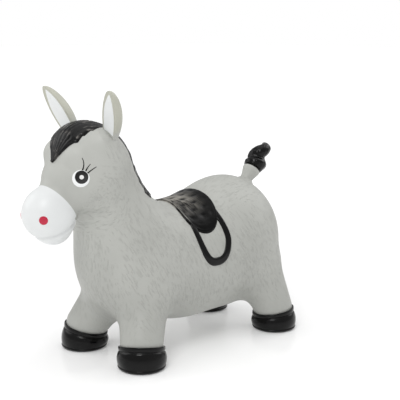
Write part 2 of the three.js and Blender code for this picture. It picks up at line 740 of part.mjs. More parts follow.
function forelockSolid() {
  const lift = ([pitch, angle], rise) => {
    const [side, flat] = [Math.sin(angle * DEGREE), Math.cos(angle * DEGREE)];
    return raised(CRANIUM, [side, -flat * Math.sin(pitch * DEGREE), flat * Math.cos(pitch * DEGREE)], rise);
  };
  const edge = (t) => {
    const taperShare = Math.min((1 - t) / FORELOCK_TIP_SHARE, 1);
    const lock = FORELOCK_LOCK_REACH * (saw(t * FORELOCK_LOCKS) - 0.5);
    return (FORELOCK_HALF_ANGLE + lock) * taperShare + FORELOCK_TIP_HALF_ANGLE;
  };
  const span = FORELOCK_TIP_ANGLE - FORELOCK_START_ANGLE;
  const sheet = stripChart(3 * FORELOCK_LOCKS, 4, (t, across) => {
    return [FORELOCK_START_ANGLE + t * span, -across * edge(t)];
  });
  const cutters = [headCutter];
  return ahead(drapedSheet({ ...sheet, lift, rise: () => FORELOCK_RISE, cutters }), pollSeam);
}

// Saddle and stirrups lie on the barrel: a spot is a place along it and an angle round it
const BARREL_ARC = DEGREE * BELLY_HALF_WIDTH;

function onBarrel([place, angle], rise) {
  const ray = [Math.sin(angle * DEGREE), 0, Math.cos(angle * DEGREE)];
  return raised([0, place, SADDLE_AXIS_HEIGHT], ray, rise);
}

function saddleSheet(grow, height, cutters) {
  const power = (value, exponent) => Math.sign(value) * Math.abs(value) ** exponent;
  const halfLength = SADDLE_HALF_LENGTH + grow;
  const halfAngle = SADDLE_HALF_ANGLE + grow / BARREL_ARC;
  const sheet = discChart(4, 28, (share, turn) => [
    -SADDLE_MIDDLE_AHEAD + share * halfLength * Math.sin(turn),
    share * halfAngle * power(Math.cos(turn), 2 / SADDLE_SQUARENESS),
  ]);
  return drapedSheet({ ...sheet, lift: onBarrel, rise: () => height, cutters });
}

const saddleSolid = () => saddleSheet(0, SADDLE_RISE, [bodyCutter]);
const saddleClearance = () => saddleSheet(SEAM_GAP, 3 * SADDLE_RISE, []);

// A stirrup is a loop of strap, broadest at the tread, whose ends meet the saddle's edge
function stirrupSolid() {
  const broadening = STIRRUP_TREAD_WIDTH - STIRRUP_STRAP_WIDTH;
  const width = (t) => STIRRUP_STRAP_WIDTH + broadening * Math.sin(Math.PI * t) ** 2;
  const middle = (t) => {
    const turn = Math.PI * (t - 0.5);
    const reach = Math.sign(turn) * Math.abs(Math.sin(turn)) ** STIRRUP_SQUARENESS;
    const drop = (STIRRUP_BOTTOM_ANGLE - STIRRUP_TOP_ANGLE) * Math.cos(turn);
    return [-STIRRUP_MIDDLE_AHEAD + STIRRUP_HALF_LENGTH * reach, STIRRUP_TOP_ANGLE + drop];
  };
  const sheet = stripChart(STIRRUP_STEPS, 2, (t, across) => {
    const step = 0.01;
    const [here, before, after] = [middle(t), middle(t - step), middle(t + step)];
    const [forth, round] = [after[0] - before[0], (after[1] - before[1]) * BARREL_ARC];
    const run = new THREE.Vector2(forth, round).normalize();
    const off = (across * width(t)) / 2;
    return [here[0] - off * run.y, here[1] + (off * run.x) / BARREL_ARC];
  });
  const cutters = [bodyCutter, saddleClearance()];
  return drapedSheet({ ...sheet, lift: onBarrel, rise: () => STIRRUP_RISE, cutters });
}

// Eyes and nostrils, left side: round buttons whose domes follow the head
function buttonSolid({ origin, facing, radius, rise }) {
  const middle = new THREE.Vector3(...raised(origin, facing, 0));
  const out = slopeAt(skin, middle.toArray()).normalize();
  const across = new THREE.Vector3(0, 0, 1).cross(out).normalize();
  const up = out.clone().cross(across);
  const lift = ([u, v], height) => {
    const spot = middle.clone().addScaledVector(across, u).addScaledVector(up, v);
    return raised(spot.addScaledVector(out, -radius).toArray(), out.toArray(), height);
  };
  const sheet = discChart(2, 16, (share, turn) => {
    return [share * radius * Math.cos(turn), share * radius * Math.sin(turn)];
  });
  const dome = ([u, v]) => rise * (1 - 0.5 * ((u * u + v * v) / (radius * radius)));
  return drapedSheet({ ...sheet, lift, rise: dome, cutters: [headCutter] });
}

const eyeSolid = () => buttonSolid({
  origin: [0, -BRIDGE_AHEAD - EYE_AHEAD_OF_BRIDGE, BRIDGE_HEIGHT + EYE_ABOVE_BRIDGE],
  facing: [1, 0, 0],
  radius: EYE_RADIUS,
  rise: EYE_RISE,
});
const nostrilSolid = () => buttonSolid({
  origin: [NOSTRIL_OUT, -MUZZLE_AHEAD, MUZZLE_HEIGHT - NOSTRIL_DROP],
  facing: [0, -1, 0],
  radius: NOSTRIL_RADIUS,
  rise: NOSTRIL_RISE,
});

// Valve: a grommet through the belly, and the plug that stops it
const VALVE_LEVEL = raised([0, VALVE_BEHIND, BELLY_HEIGHT], [0, 0, -1], 0)[2];

function turned(profile, sides) {
  const points = profile.map(([r, z]) => new THREE.Vector2(r, z));
  return new THREE.LatheGeometry(points, sides).rotateX(Math.PI / 2).translate(0, VALVE_BEHIND, 0);
}

function valveSeat() {
  const flangeTop = VALVE_LEVEL - SEAM_GAP;
  const flangeBase = flangeTop - VALVE_FLANGE_THICKNESS;
  const collarBase = VALVE_LEVEL + SKIN_WALL + VALVE_COLLAR_GAP;
  const collarTop = collarBase + VALVE_FLANGE_THICKNESS;
  const profile = [
    [VALVE_BORE_RADIUS, flangeBase],
    [VALVE_FLANGE_RADIUS, flangeBase],
    [VALVE_FLANGE_RADIUS, flangeTop],
    [VALVE_NECK_RADIUS, flangeTop],
    [VALVE_NECK_RADIUS, collarBase],
    [VALVE_FLANGE_RADIUS - EDGE_ROUNDING, collarBase],
    [VALVE_NECK_RADIUS, collarTop],
    [VALVE_BORE_RADIUS, collarTop],
    [VALVE_BORE_RADIUS, flangeBase],
  ];
  return turned(profile, ROUND_SIDES);
}

function valvePlug() {
  const headTop = VALVE_LEVEL - SEAM_GAP - VALVE_FLANGE_THICKNESS - SEAM_GAP;
  const headBase = headTop - PLUG_HEAD_THICKNESS;
  const stemRadius = VALVE_BORE_RADIUS - SEAM_GAP;
  const stemTop = headTop + PLUG_STEM_LENGTH;
  const profile = [
    [0, headBase],
    [PLUG_HEAD_RADIUS - EDGE_ROUNDING, headBase],
    [PLUG_HEAD_RADIUS, headBase + EDGE_ROUNDING],
    [PLUG_HEAD_RADIUS, headTop],
    [stemRadius, headTop],
    [stemRadius, stemTop - 2 * PLUG_NOSE_TAPER],
    [stemRadius - PLUG_NOSE_TAPER, stemTop],
    [0, stemTop],
  ];
  return turned(profile, ROUND_SIDES);
}

function valveHole() {
  const radius = VALVE_NECK_RADIUS + SEAM_GAP;
  const profile = [[0, 0], [radius, 0], [radius, BELLY_HEIGHT], [0, BELLY_HEIGHT]];
  return solidFrom(turned(profile, ROUND_SIDES));
}

// Skin pieces, cut from the shells at the seams
function skinPieces() {
  const legEnds = { front: [frontSeams, frontHalf], hind: [hindSeams, hindHalf] };
  const legs = {};
  let barrel = behind(bodyShell, neckSeam).subtract(valveHole());
  for (const [name, [seams, end]] of Object.entries(legEnds)) {
    legs[name] = behind(bodyShell.intersect(legSpace(seams, end, SEAM_GAP / 2)), seams.coronet);
    const cleared = geometryOf(legSpace(seams, end, -SEAM_GAP / 2));
    barrel = barrel.subtract(solidFrom(cleared)).subtract(solidFrom(mirroredGeometry(cleared)));
  }
  barrel = barrel.subtract(socket(TAIL_ROOT, TAIL_ROOT_RADIUS));
  const earSocket = geometryOf(socket(EAR_ROOT, EAR_ROOT_RADIUS));
  const head = behind(ahead(headShell, headSeam), muzzleSeam)
    .subtract(solidFrom(earSocket))
    .subtract(solidFrom(mirroredGeometry(earSocket)));
  const neck = behind(ahead(bodyShell, neckSeam), headSeam);
  const muzzle = ahead(ahead(headShell, headSeam), muzzleSeam);
  return { barrel, neck, head, muzzle, legs };
}

// Finishes
const pvc = (color, roughness) => ({ color, roughness, metalness: 0 });
const GREY_SKIN = pvc(0xb9bbb5, 0.55);
const EAR_GREY = pvc(0xbcbbae, 0.55);
const WHITE_PAINT = pvc(0xeceeee, 0.4);
const BLACK_GLOSS = pvc(0x18181a, 0.25);
const SADDLE_BLACK = pvc(0x33332f, 0.35);
const RED_PAINT = pvc(0xc8183c, 0.4);
const VALVE_WHITE = pvc(0xdedfdc, 0.5);

// Assembly
const hopper = new THREE.Group();

function place(name, finish, geometry) {
  const mesh = new THREE.Mesh(geometry, new THREE.MeshStandardMaterial(finish));
  mesh.name = name;
  hopper.add(mesh);
}

function placePair(name, finish, geometry) {
  place(`${name}_left`, finish, geometry);
  place(`${name}_right`, finish, mirroredGeometry(geometry));
}

const pieces = skinPieces();
place("barrel_skin", GREY_SKIN, geometryOf(pieces.barrel));
place("neck_skin", GREY_SKIN, geometryOf(pieces.neck));
place("head_skin", GREY_SKIN, geometryOf(pieces.head));
place("muzzle_skin", WHITE_PAINT, geometryOf(pieces.muzzle));
placePair("leg_front", GREY_SKIN, geometryOf(pieces.legs.front));
placePair("leg_hind", GREY_SKIN, geometryOf(pieces.legs.hind));
placePair("hoof_front", BLACK_GLOSS, geometryOf(hoofSolid(SHOULDER, FRONT_ANKLE)));
placePair("hoof_hind", BLACK_GLOSS, geometryOf(hoofSolid(HIP, HIND_ANKLE)));
placePair("ear", EAR_GREY, earSolid());
placePair("eye", WHITE_PAINT, geometryOf(eyeSolid()));
placePair("nostril", RED_PAINT, geometryOf(nostrilSolid()));
place("mane", BLACK_GLOSS, geometryOf(maneSolid()));
place("forelock", BLACK_GLOSS, geometryOf(forelockSolid()));
place("saddle", SADDLE_BLACK, geometryOf(saddleSolid()));
placePair("stirrup", BLACK_GLOSS, geometryOf(stirrupSolid()));
place("tail_stub", GREY_SKIN, tailStub());
place("tail_tuft", BLACK_GLOSS, tailTuft());
place("valve_seat", VALVE_WHITE, valveSeat());
place("valve_plug", VALVE_WHITE, valvePlug());

// The origin lies on the floor under the middle of the whole toy
const box = new THREE.Box3().setFromObject(hopper);
hopper.position.y = -(box.min.y + box.max.y) / 2;

export default hopper;
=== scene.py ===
"""Bouncy horse hopper: the looks of a blown-up PVC ride-on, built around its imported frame.

Metres, +Z up. The toy faces -Y and its own left is +X. Places on it are given in millimetres
out to its left, ahead of the belly's middle and above the floor, as a maker would measure them.
"""

import json
import logging
import math
from collections.abc import Callable, Sequence
from dataclasses import dataclass, field
from enum import Enum
from typing import Any

import bpy
import numpy as np
from mathutils import Matrix, Vector


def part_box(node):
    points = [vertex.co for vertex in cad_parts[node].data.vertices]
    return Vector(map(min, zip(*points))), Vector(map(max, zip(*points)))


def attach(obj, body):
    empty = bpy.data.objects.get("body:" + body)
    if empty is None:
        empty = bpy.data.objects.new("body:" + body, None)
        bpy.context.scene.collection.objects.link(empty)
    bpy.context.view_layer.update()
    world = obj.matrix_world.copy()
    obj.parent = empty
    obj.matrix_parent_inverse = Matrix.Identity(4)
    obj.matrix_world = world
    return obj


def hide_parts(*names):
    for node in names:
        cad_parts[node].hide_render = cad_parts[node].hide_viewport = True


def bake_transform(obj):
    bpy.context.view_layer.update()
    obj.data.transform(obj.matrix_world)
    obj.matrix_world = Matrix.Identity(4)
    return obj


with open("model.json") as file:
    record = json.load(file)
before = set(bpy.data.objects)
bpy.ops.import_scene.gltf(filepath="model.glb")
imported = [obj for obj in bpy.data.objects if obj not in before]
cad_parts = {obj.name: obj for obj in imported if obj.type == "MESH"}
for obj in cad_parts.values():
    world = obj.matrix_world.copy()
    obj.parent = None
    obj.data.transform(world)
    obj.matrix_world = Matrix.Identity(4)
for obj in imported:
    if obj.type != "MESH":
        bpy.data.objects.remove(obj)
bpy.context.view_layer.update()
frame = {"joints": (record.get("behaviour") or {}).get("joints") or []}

LOG = logging.getLogger("hopper")
MM = 0.001
BODY = "body"

Points = np.ndarray
Piece = bpy.types.Object
Material = bpy.types.Material
Place = tuple[float, float, float]
Span = tuple[float, float]
Corner = tuple[float, float]
Tint = tuple[float, float, float, float]

# How far the air valve lies behind the belly's middle, in millimetres
VALVE_BEHIND = 10.0

# How far a sheet falls at its edge, in shares of its rise
EDGE_DROP = 1.25

# The middle of the whorl of hair strokes on the cheeks
CHEEK: Place = (0, 262, 322)


def middle_of(node: str) -> Vector:
    """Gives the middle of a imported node's box.

    Args:
        node: The node's name.

    Returns:
        The middle, in metres.
    """
    low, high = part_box(node)
    return (low + high) / 2


# The frame's origin lies under the middle of the whole toy, so the belly's middle is found
# from the air valve, which lies a known way behind it
BELLY_MIDDLE = middle_of("valve_seat").y - VALVE_BEHIND * MM


def spot(place: Place) -> Points:
    """Turns a maker's measure into a point of the frame.

    Args:
        place: Millimetres out to the left, ahead of the belly's middle and above the floor.

    Returns:
        The point, in metres.
    """
    out, ahead, height = place
    return np.array([out * MM, BELLY_MIDDLE - ahead * MM, height * MM])


def joint_place(name: str) -> Points:
    """Gives the place of one of the frame's joints.

    Args:
        name: The joint's name.

    Returns:
        Its point, in metres.
    """
    return np.array(next(j["pos_m"] for j in frame["joints"] if j["name"] == name))


def smooth_step(value: Points, low: float, high: float) -> Points:
    """Rises smoothly from 0 at low to 1 at high.

    Args:
        value: The values to grade.
        low: Where the rise starts.
        high: Where it ends.

    Returns:
        Shares from 0 to 1.
    """
    share = np.clip((value - low) / (high - low), 0.0, 1.0)
    return share * share * (3.0 - 2.0 * share)


def strands(phase: Points) -> Points:
    """A deterministic, uneven ripple like moulded hair.

    Args:
        phase: How far across the strands each point lies, in strands.

    Returns:
        Heights from about -1 to 1.
    """
    waves = ((1.0, 1.0, 0.0), (0.6, 2.3, 1.7), (0.4, 0.41, 0.4))
    turn = 2.0 * math.pi * phase
    return sum(height * np.sin(pitch * turn + start) for height, pitch, start in waves) / 2.0


def hump(value: Points, width: float) -> Points:
    """Falls smoothly from 1 at nothing to nearly 0 at twice the width."""
    return np.exp(-((value / width) ** 2))


def edge_fall(value: Points, power: float) -> Points:
    """Grades a sheet's rise from 1 in its middle to just under the skin at its edge, at 1."""
    return 1.0 - EDGE_DROP * np.abs(value) ** power


def unit(rows: Points) -> Points:
    """Brings each row to a length of 1."""
    return rows / np.linalg.norm(rows, axis=1, keepdims=True)


def on_left(points: Points) -> Points:
    """Brings points of the right side to the same places on the left."""
    return np.c_[np.abs(points[:, 0]), points[:, 1:]]


def along_line(points: Points, start: Points, end: Points) -> tuple[Points, Points]:
    """Finds the place on a straight line that is nearest to each point.

    Args:
        points: The points.
        start: The line's first end.
        end: Its other end.

    Returns:
        The share of the line at which that place lies, and its distance from the point.
    """
    along = end - start
    share = np.clip((points - start) @ along / (along @ along), 0.0, 1.0)
    return share, np.linalg.norm(points - start - share[:, None] * along, axis=1)


class Side(Enum):
    """The toy's own left and right."""

    LEFT = 1
    RIGHT = -1

    @property
    def word(self) -> str:
        """The side's name, as pieces and bodies use it."""
        return self.name.lower()


class Slot(Enum):
    """The record's material slots."""

    SKIN = "grey_skin"
    EAR = "ear_grey"
    WHITE = "white_paint"
    BLACK = "black_gloss"
    SADDLE = "saddle_black"
    RED = "red_paint"
    VALVE = "valve_white"


# Round forms of the skin


@dataclass(frozen=True)
class RoundMass:
    """An ellipsoid of the skin, in millimetres.

    Attributes:
        middle: Its middle.
        radii: Half its width, length and height.
    """

    middle: Place
    radii: Place

    def depth(self, points: Points) -> Points:
        """Measures how far points lie from the surface.

        Args:
            points: The points.

        Returns:
            Each point's distance, less than zero inside.
        """
        radii = np.array(self.radii) * MM
        share = (points - spot(self.middle)) / radii
        reach = np.linalg.norm(share, axis=1)
        slope = np.maximum(np.linalg.norm(share / radii, axis=1), 1e-9)
        return reach * (reach - 1.0) / slope


@dataclass(frozen=True)
class Limb:
    """A round limb that tapers from one end to the other, in millimetres.

    Attributes:
        start: The middle of its first end.
        end: The middle of its other end.
        start_radius: Its radius at the first end.
        end_radius: Its radius at the other end.
        paired: Whether there is one on each side.
    """

    start: Place
    end: Place
    start_radius: float
    end_radius: float
    paired: bool = False

    def axis(self) -> Vector:
        """The unit direction from start to end, in the frame."""
        return Vector(spot(self.end) - spot(self.start)).normalized()

    def depth(self, points: Points) -> Points:
        """Measures how far points lie from the surface.

        Args:
            points: The points.

        Returns:
            Each point's distance, less than zero inside.
        """
        near = on_left(points) if self.paired else points
        share, gap = along_line(near, spot(self.start), spot(self.end))
        return gap - (self.start_radius + (self.end_radius - self.start_radius) * share) * MM


def blended(fillet: float, *depths: Points) -> Points:
    """Joins forms with a fillet where they meet.

    Args:
        fillet: The fillet's size in millimetres.
        depths: Each form's distances.

    Returns:
        The joined form's distances.
    """
    size = fillet * MM
    near = depths[0]
    for other in depths[1:]:
        overlap = np.maximum(size - np.abs(near - other), 0.0) / size
        near = np.minimum(near, other) - overlap * overlap * size / 4.0
    return near


@dataclass(frozen=True)
class SkinForm:
    """The whole skin as one flowing form. Fields are its masses and the fillets between them."""

    chest: RoundMass = RoundMass((0, 140, 181), (100, 99, 110))
    belly: RoundMass = RoundMass((0, 0, 164), (108, 186, 121))
    rump: RoundMass = RoundMass((0, -117, 186), (118, 114, 130))
    front_leg: Limb = Limb((45, 144, 120), (81, 181, 46), 48, 40, True)
    hind_leg: Limb = Limb((73, -147, 128), (95, -170, 46), 47, 40, True)
    neck: Limb = Limb((0, 136, 183), (0, 219, 356), 83, 66)
    cranium: RoundMass = RoundMass((0, 241, 374), (67, 58, 69))
    bridge: Limb = Limb((0, 241, 374), (0, 277, 345), 67, 50)
    brow: Limb = Limb((32, 280, 395), (32, 241, 395), 22, 22, True)
    muzzle: RoundMass = RoundMass((0, 321, 297), (45, 51, 49))
    chin: RoundMass = RoundMass((0, 315, 272), (33, 33, 33))
    ear_mound: Limb = Limb((50, 231, 419), (59, 234, 436), 15, 12.5, True)
    tail_mound: Limb = Limb((0, -178, 286), (0, -190, 302), 15, 11)
    barrel_fillet: float = 50
    leg_fillet: float = 30
    neck_fillet: float = 45
    head_fillet: float = 30
    brow_fillet: float = 12
    muzzle_fillet: float = 14
    lip_fillet: float = 9
    mound_fillet: float = 22

    def masses(self) -> list[RoundMass]:
        """The round masses, for a first rough mesh."""
        return [self.chest, self.belly, self.rump, self.cranium, self.muzzle, self.chin]

    def limbs(self) -> list[Limb]:
        """The limbs, for a first rough mesh."""
        return [self.front_leg, self.hind_leg, self.neck, self.bridge, self.brow]

    def depth(self, points: Points) -> Points:
        """Measures how far points lie from the skin.

        Args:
            points: The points.

        Returns:
            Each point's distance, less than zero inside.
        """
        barrel = blended(
            self.barrel_fillet, *(m.depth(points) for m in (self.chest, self.belly, self.rump))
        )
        legs = blended(
            self.leg_fillet, barrel, self.front_leg.depth(points), self.hind_leg.depth(points)
        )
        trunk = blended(self.neck_fillet, legs, self.neck.depth(points))
        skull = blended(self.head_fillet, self.cranium.depth(points), self.bridge.depth(points))
        skull = blended(self.brow_fillet, skull, self.brow.depth(points))
        lips = blended(self.lip_fillet, self.muzzle.depth(points), self.chin.depth(points))
        whole = blended(self.muzzle_fillet, blended(self.head_fillet, trunk, skull), lips)
        return blended(
            self.mound_fillet, whole, self.ear_mound.depth(points), self.tail_mound.depth(points)
        )

    def slope(self, points: Points) -> Points:
        """Measures the form's outward slope.

        Args:
            points: The points.

        Returns:
            The slope at each, as a vector.
        """
        step = 0.5 * MM
        parts = []
        for axis in np.eye(3) * step:
            parts.append((self.depth(points + axis) - self.depth(points - axis)) / (2.0 * step))
        return np.stack(parts, axis=1)

    def outward(self, points: Points) -> Points:
        """Gives the unit outward direction at each point."""
        return unit(self.slope(points))

    def settled(self, points: Points, level: Points | float = 0.0, passes: int = 6) -> Points:
        """Moves points along the slope onto one level of the form.

        Args:
            points: Where they start.
            level: The height above the skin that they end at, in metres.
            passes: How often each is moved.

        Returns:
            The moved points.
        """
        least_slope = 0.05
        for _ in range(passes):
            slope = self.slope(points)
            steepness = np.maximum((slope * slope).sum(axis=1), least_slope)
            points = points - slope * ((self.depth(points) - level) / steepness)[:, None]
        return points

    def raised(self, origins: Points, rays: Points, level: Points | float) -> Points:
        """Finds where rays from inside leave the skin.

        Args:
            origins: Points inside the skin.
            rays: A direction for each.
            level: The height above the skin to stop at, in metres.

        Returns:
            The outermost point of each ray at that height.
        """
        reach, passes, ease = 0.5, 110, 0.7
        rays = unit(rays)
        points = origins + rays * reach
        for _ in range(passes):
            points = points + rays * (ease * (level - self.depth(points)))[:, None]
        return points


SKIN = SkinForm()


# Steps at the bench that many pieces share


class Bench:
    """Modelling steps done with Blender's own operators."""

    @staticmethod
    def clear() -> None:
        """Leaves edit mode and selects nothing."""
        if bpy.context.object and bpy.context.object.mode != "OBJECT":
            bpy.ops.object.mode_set(mode="OBJECT")
        bpy.ops.object.select_all(action="DESELECT")

    @staticmethod
    def added(name: str, primitive: Callable[..., Any], **sizes: Any) -> Piece:
        """Adds a primitive and names it.

        Args:
            name: The piece's name.
            primitive: The operator that adds it.
            sizes: The operator's values.

        Returns:
            The piece.
        """
        Bench.clear()
        primitive(**sizes)
        piece = bpy.context.object
        piece.name = piece.data.name = name
        return piece

    @staticmethod
    def only(piece: Piece) -> None:
        """Selects one piece and makes it active.

        Args:
            piece: The piece.
        """
        Bench.clear()
        piece.select_set(True)
        bpy.context.view_layer.objects.active = piece

    @staticmethod
    def grid(name: str, columns: int, rows: int) -> Piece:
        """Adds a flat grid from -1 to 1 each way."""
        add = bpy.ops.mesh.primitive_grid_add
        return Bench.added(name, add, x_subdivisions=columns, y_subdivisions=rows, size=2)

    @staticmethod
    def sphere(name: str, segments: int, rings: int, **sizes: Any) -> Piece:
        """Adds a sphere, of radius 1 about the origin unless other sizes are given."""
        add = bpy.ops.mesh.primitive_uv_sphere_add
        return Bench.added(name, add, segments=segments, ring_count=rings, **sizes)

    @staticmethod
    def unrolled(sphere: Piece) -> tuple[Points, Points, Points]:
        """Reads a sphere's points as places on its unrolled side.

        Args:
            sphere: A sphere of radius 1.

        Returns:
            Shares of its height, angles round it, and which points are off its poles.
        """
        x, y, z = Bench.points(sphere).T
        return np.clip((z + 1.0) / 2.0, 0.0, 1.0), np.arctan2(y, x), np.hypot(x, y) > 1e-4

    @staticmethod
    def turned(name: str, profile: Sequence[Corner], steps: int) -> Piece:
        """Spins a closed profile round the Z axis.

        Args:
            name: The piece's name.
            profile: Radius and height of each corner, in millimetres.
            steps: How many steps make the turn.

        Returns:
            The turned piece.
        """
        piece = Bench.added(name, bpy.ops.mesh.primitive_circle_add, vertices=len(profile))
        Bench.move(piece, np.array([[r * MM, 0.0, z * MM] for r, z in profile]))
        bpy.ops.object.mode_set(mode="EDIT")
        bpy.ops.mesh.select_all(action="SELECT")
        bpy.ops.mesh.spin(steps=steps, angle=2 * math.pi, center=(0, 0, 0), axis=(0, 0, 1))
        merge, sliver = 0.01 * MM, 0.005 * MM
        bpy.ops.mesh.select_all(action="SELECT")
        bpy.ops.mesh.remove_doubles(threshold=merge)
        bpy.ops.mesh.dissolve_degenerate(threshold=sliver)
        bpy.ops.mesh.delete_loose(use_verts=True, use_edges=True, use_faces=False)
        bpy.ops.mesh.select_all(action="SELECT")
        bpy.ops.mesh.normals_make_consistent(inside=False)
        bpy.ops.object.mode_set(mode="OBJECT")
        return piece

    @staticmethod
    def rows(items: Any, key: str) -> Points:
        """Reads three numbers from each item of a mesh.

        Args:
            items: The mesh's points or faces, or a note stored on them.
            key: What to read.

        Returns:
            One row per item.
        """
        flat = np.zeros(len(items) * 3, np.float32)
        items.foreach_get(key, flat)
        return flat.reshape(-1, 3).astype(float)

    @staticmethod
    def points(piece: Piece) -> Points:
        """Reads a piece's points."""
        return Bench.rows(piece.data.vertices, "co")

    @staticmethod
    def move(piece: Piece, points: Points) -> None:
        """Writes a piece's points."""
        piece.data.vertices.foreach_set("co", points.astype(np.float32).ravel())
        piece.data.update()

    @staticmethod
    def modify(piece: Piece, kind: str, **settings: Any) -> None:
        """Adds a modifier to a piece and applies it.

        Args:
            piece: The piece.
            kind: The modifier's type.
            settings: Its settings.
        """
        Bench.only(piece)
        modifier = piece.modifiers.new(kind.title(), kind)
        for key, value in settings.items():
            setattr(modifier, key, value)
        bpy.ops.object.modifier_apply(modifier=modifier.name)

    @staticmethod
    def note(piece: Piece, name: str, values: Points) -> None:
        """Stores a number, or three, on each of a piece's points.

        Args:
            piece: The piece.
            name: The attribute's name.
            values: One row per point.
        """
        kind = "FLOAT" if values.ndim == 1 else "FLOAT_VECTOR"
        key = "value" if values.ndim == 1 else "vector"
        attribute = piece.data.attributes.new(name, kind, "POINT")
        attribute.data.foreach_set(key, values.astype(np.float32).ravel())

    @staticmethod
    def face_out(piece: Piece) -> None:
        """Turns an open sheet's faces to point away from the skin.

        Args:
            piece: The sheet.
        """
        faces = piece.data.polygons
        out = SKIN.slope(Bench.rows(faces, "center"))
        if (out * Bench.rows(faces, "normal")).sum() < 0:
            piece.data.flip_normals()

    @staticmethod
    def mirrored(piece: Piece, name: str) -> Piece:
        """Copies a left piece to the right side.

        Args:
            piece: The left piece.
            name: The copy's name.

        Returns:
            The right piece, with its own mesh.
        """
        other = bpy.data.objects.new(name, piece.data.copy())
        other.data.name = name
        bpy.context.scene.collection.objects.link(other)
        Bench.move(other, Bench.points(other) * [-1.0, 1.0, 1.0])
        other.data.flip_normals()
        return other

    @staticmethod
    def dress(piece: Piece, material: Material, slot: Slot) -> None:
        """Smooths a piece and gives it its looks.

        Args:
            piece: The piece.
            material: Its material.
            slot: Its slot of the record, not used.
        """
        Bench.only(piece)
        bpy.ops.object.shade_smooth()
        piece.data.materials.clear()
        piece.data.materials.append(material)
        LOG.info("%s: %d faces", piece.name, len(piece.data.polygons))

    @staticmethod
    def fit(piece: Piece, material: Material, slot: Slot, body: str, *nodes: str) -> None:
        """Dresses a piece that one body carries.

        Args:
            piece: The piece.
            material: Its material.
            slot: Its slot of the record.
            body: The body.
            nodes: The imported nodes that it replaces.
        """
        Bench.dress(piece, material, slot)
        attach(piece, body)
        if nodes:
            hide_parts(*nodes)

    @staticmethod
    def fit_pair(left: Piece, material: Material, slot: Slot, node: str = "") -> None:
        """Dresses a left piece and its mirror image, both carried by the main body.

        Args:
            left: The left piece.
            material: Their material.
            slot: Their slot of the record.
            node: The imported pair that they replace, named without its side.
        """
        right = Bench.mirrored(left, left.name.replace("left", "right"))
        for side, piece in ((Side.LEFT, left), (Side.RIGHT, right)):
            nodes = [f"{node}_{side.word}"] if node else []
            Bench.fit(piece, material, slot, BODY, *nodes)


Lay = Callable[[Points, Points], Points]


def drape(name: str, columns: int, rows: int, lay: Lay, thickness: float) -> Piece:
    """Lays a grid over the skin and thickens it inwards to a closed sheet.

    Args:
        name: The piece's name.
        columns: Faces along the first direction.
        rows: Faces along the second.
        lay: Gives the places of the grid's points from their two shares, each from -1 to 1.
        thickness: The sheet's thickness in millimetres.

    Returns:
        The sheet, with its flat shares stored on its points.
    """
    piece = Bench.grid(name, columns, rows)
    flat = Bench.points(piece)
    Bench.move(piece, lay(flat[:, 0], flat[:, 1]))
    Bench.note(piece, "flat", flat)
    Bench.face_out(piece)
    Bench.modify(piece, "SOLIDIFY", thickness=thickness * MM, offset=-1.0)
    return piece


def round_off(u: Points, v: Points) -> tuple[Points, Points]:
    """Turns a square's shares into a disc's.

    Args:
        u: First shares, from -1 to 1.
        v: Second shares.

    Returns:
        The disc's two shares, within a circle of 1.
    """
    return u * np.sqrt(1.0 - v * v / 2.0), v * np.sqrt(1.0 - u * u / 2.0)


# Shader sums

# Paint and plastic have a fine grain, given by its specks per metre, what it adds to the
# roughness and its bump height, and clouds that fade between two levels of noise
GRAIN = 900.0
GRAIN_ROUGHNESS = 0.1
GRAIN_HEIGHT = 0.06
CLOUD_EDGES: Span = (0.35, 0.7)
SMOOTH_STEP = {"interpolation_type": "SMOOTHSTEP"}


class Wire:
    """A shader socket that takes part in sums."""

    def __init__(self, nodes: "Nodes", socket: bpy.types.NodeSocket) -> None:
        """Wraps one socket of a tree of nodes."""
        self.nodes = nodes
        self.socket = socket

    def maths(self, operation: str, *values: "Wire | float") -> "Wire":
        """Adds one Math node whose inputs are the values."""
        settings = {"operation": operation}
        return self.nodes.node("ShaderNodeMath", settings, dict(enumerate(values)))

    def __add__(self, other: "Wire | float") -> "Wire":
        """Sum."""
        return self.maths("ADD", self, other)

    __radd__ = __add__

    def __mul__(self, other: "Wire | float") -> "Wire":
        """Product."""
        return self.maths("MULTIPLY", self, other)

    __rmul__ = __mul__

    def __sub__(self, other: "Wire | float") -> "Wire":
        """Difference."""
        return self.maths("SUBTRACT", self, other)

    def __rsub__(self, other: "Wire | float") -> "Wire":
        """Difference from a number."""
        return self.maths("SUBTRACT", other, self)

    def root(self) -> "Wire":
        """Square root."""
        return self.maths("SQRT", self)

    def angle(self, other: "Wire | float") -> "Wire":
        """The angle of the direction whose rise is this and whose run is the other."""
        return self.maths("ARCTAN2", self, other)

    def toward(self, other: "Wire", share: "Wire") -> "Wire":
        """A number that lies a share of the way from this to another."""
        return self + (other - self) * share

    def step(self, low: float, high: float) -> "Wire":
        """Rises smoothly from 0 at low to 1 at high."""
        sockets = {"Value": self, "From Min": low, "From Max": high}
        return self.nodes.node("ShaderNodeMapRange", SMOOTH_STEP, sockets)

    def parts(self) -> list["Wire"]:
        """A vector's three numbers."""
        node = self.nodes.node("ShaderNodeSeparateXYZ", {}, {0: self}).socket.node
        return [Wire(self.nodes, output) for output in node.outputs]


def linear(red: int, green: int, blue: int) -> Tint:
    """Turns a colour as seen on a screen into shader units, by the usual curve.

    Args:
        red: Red, in steps to 255.
        green: Green.
        blue: Blue.

    Returns:
        The shader's red, green, blue and alpha.
    """
    shares = [value / 255.0 for value in (red, green, blue)]
    bent = [s / 12.92 if s <= 0.04045 else ((s + 0.055) / 1.055) ** 2.4 for s in shares]
    return bent[0], bent[1], bent[2], 1.0


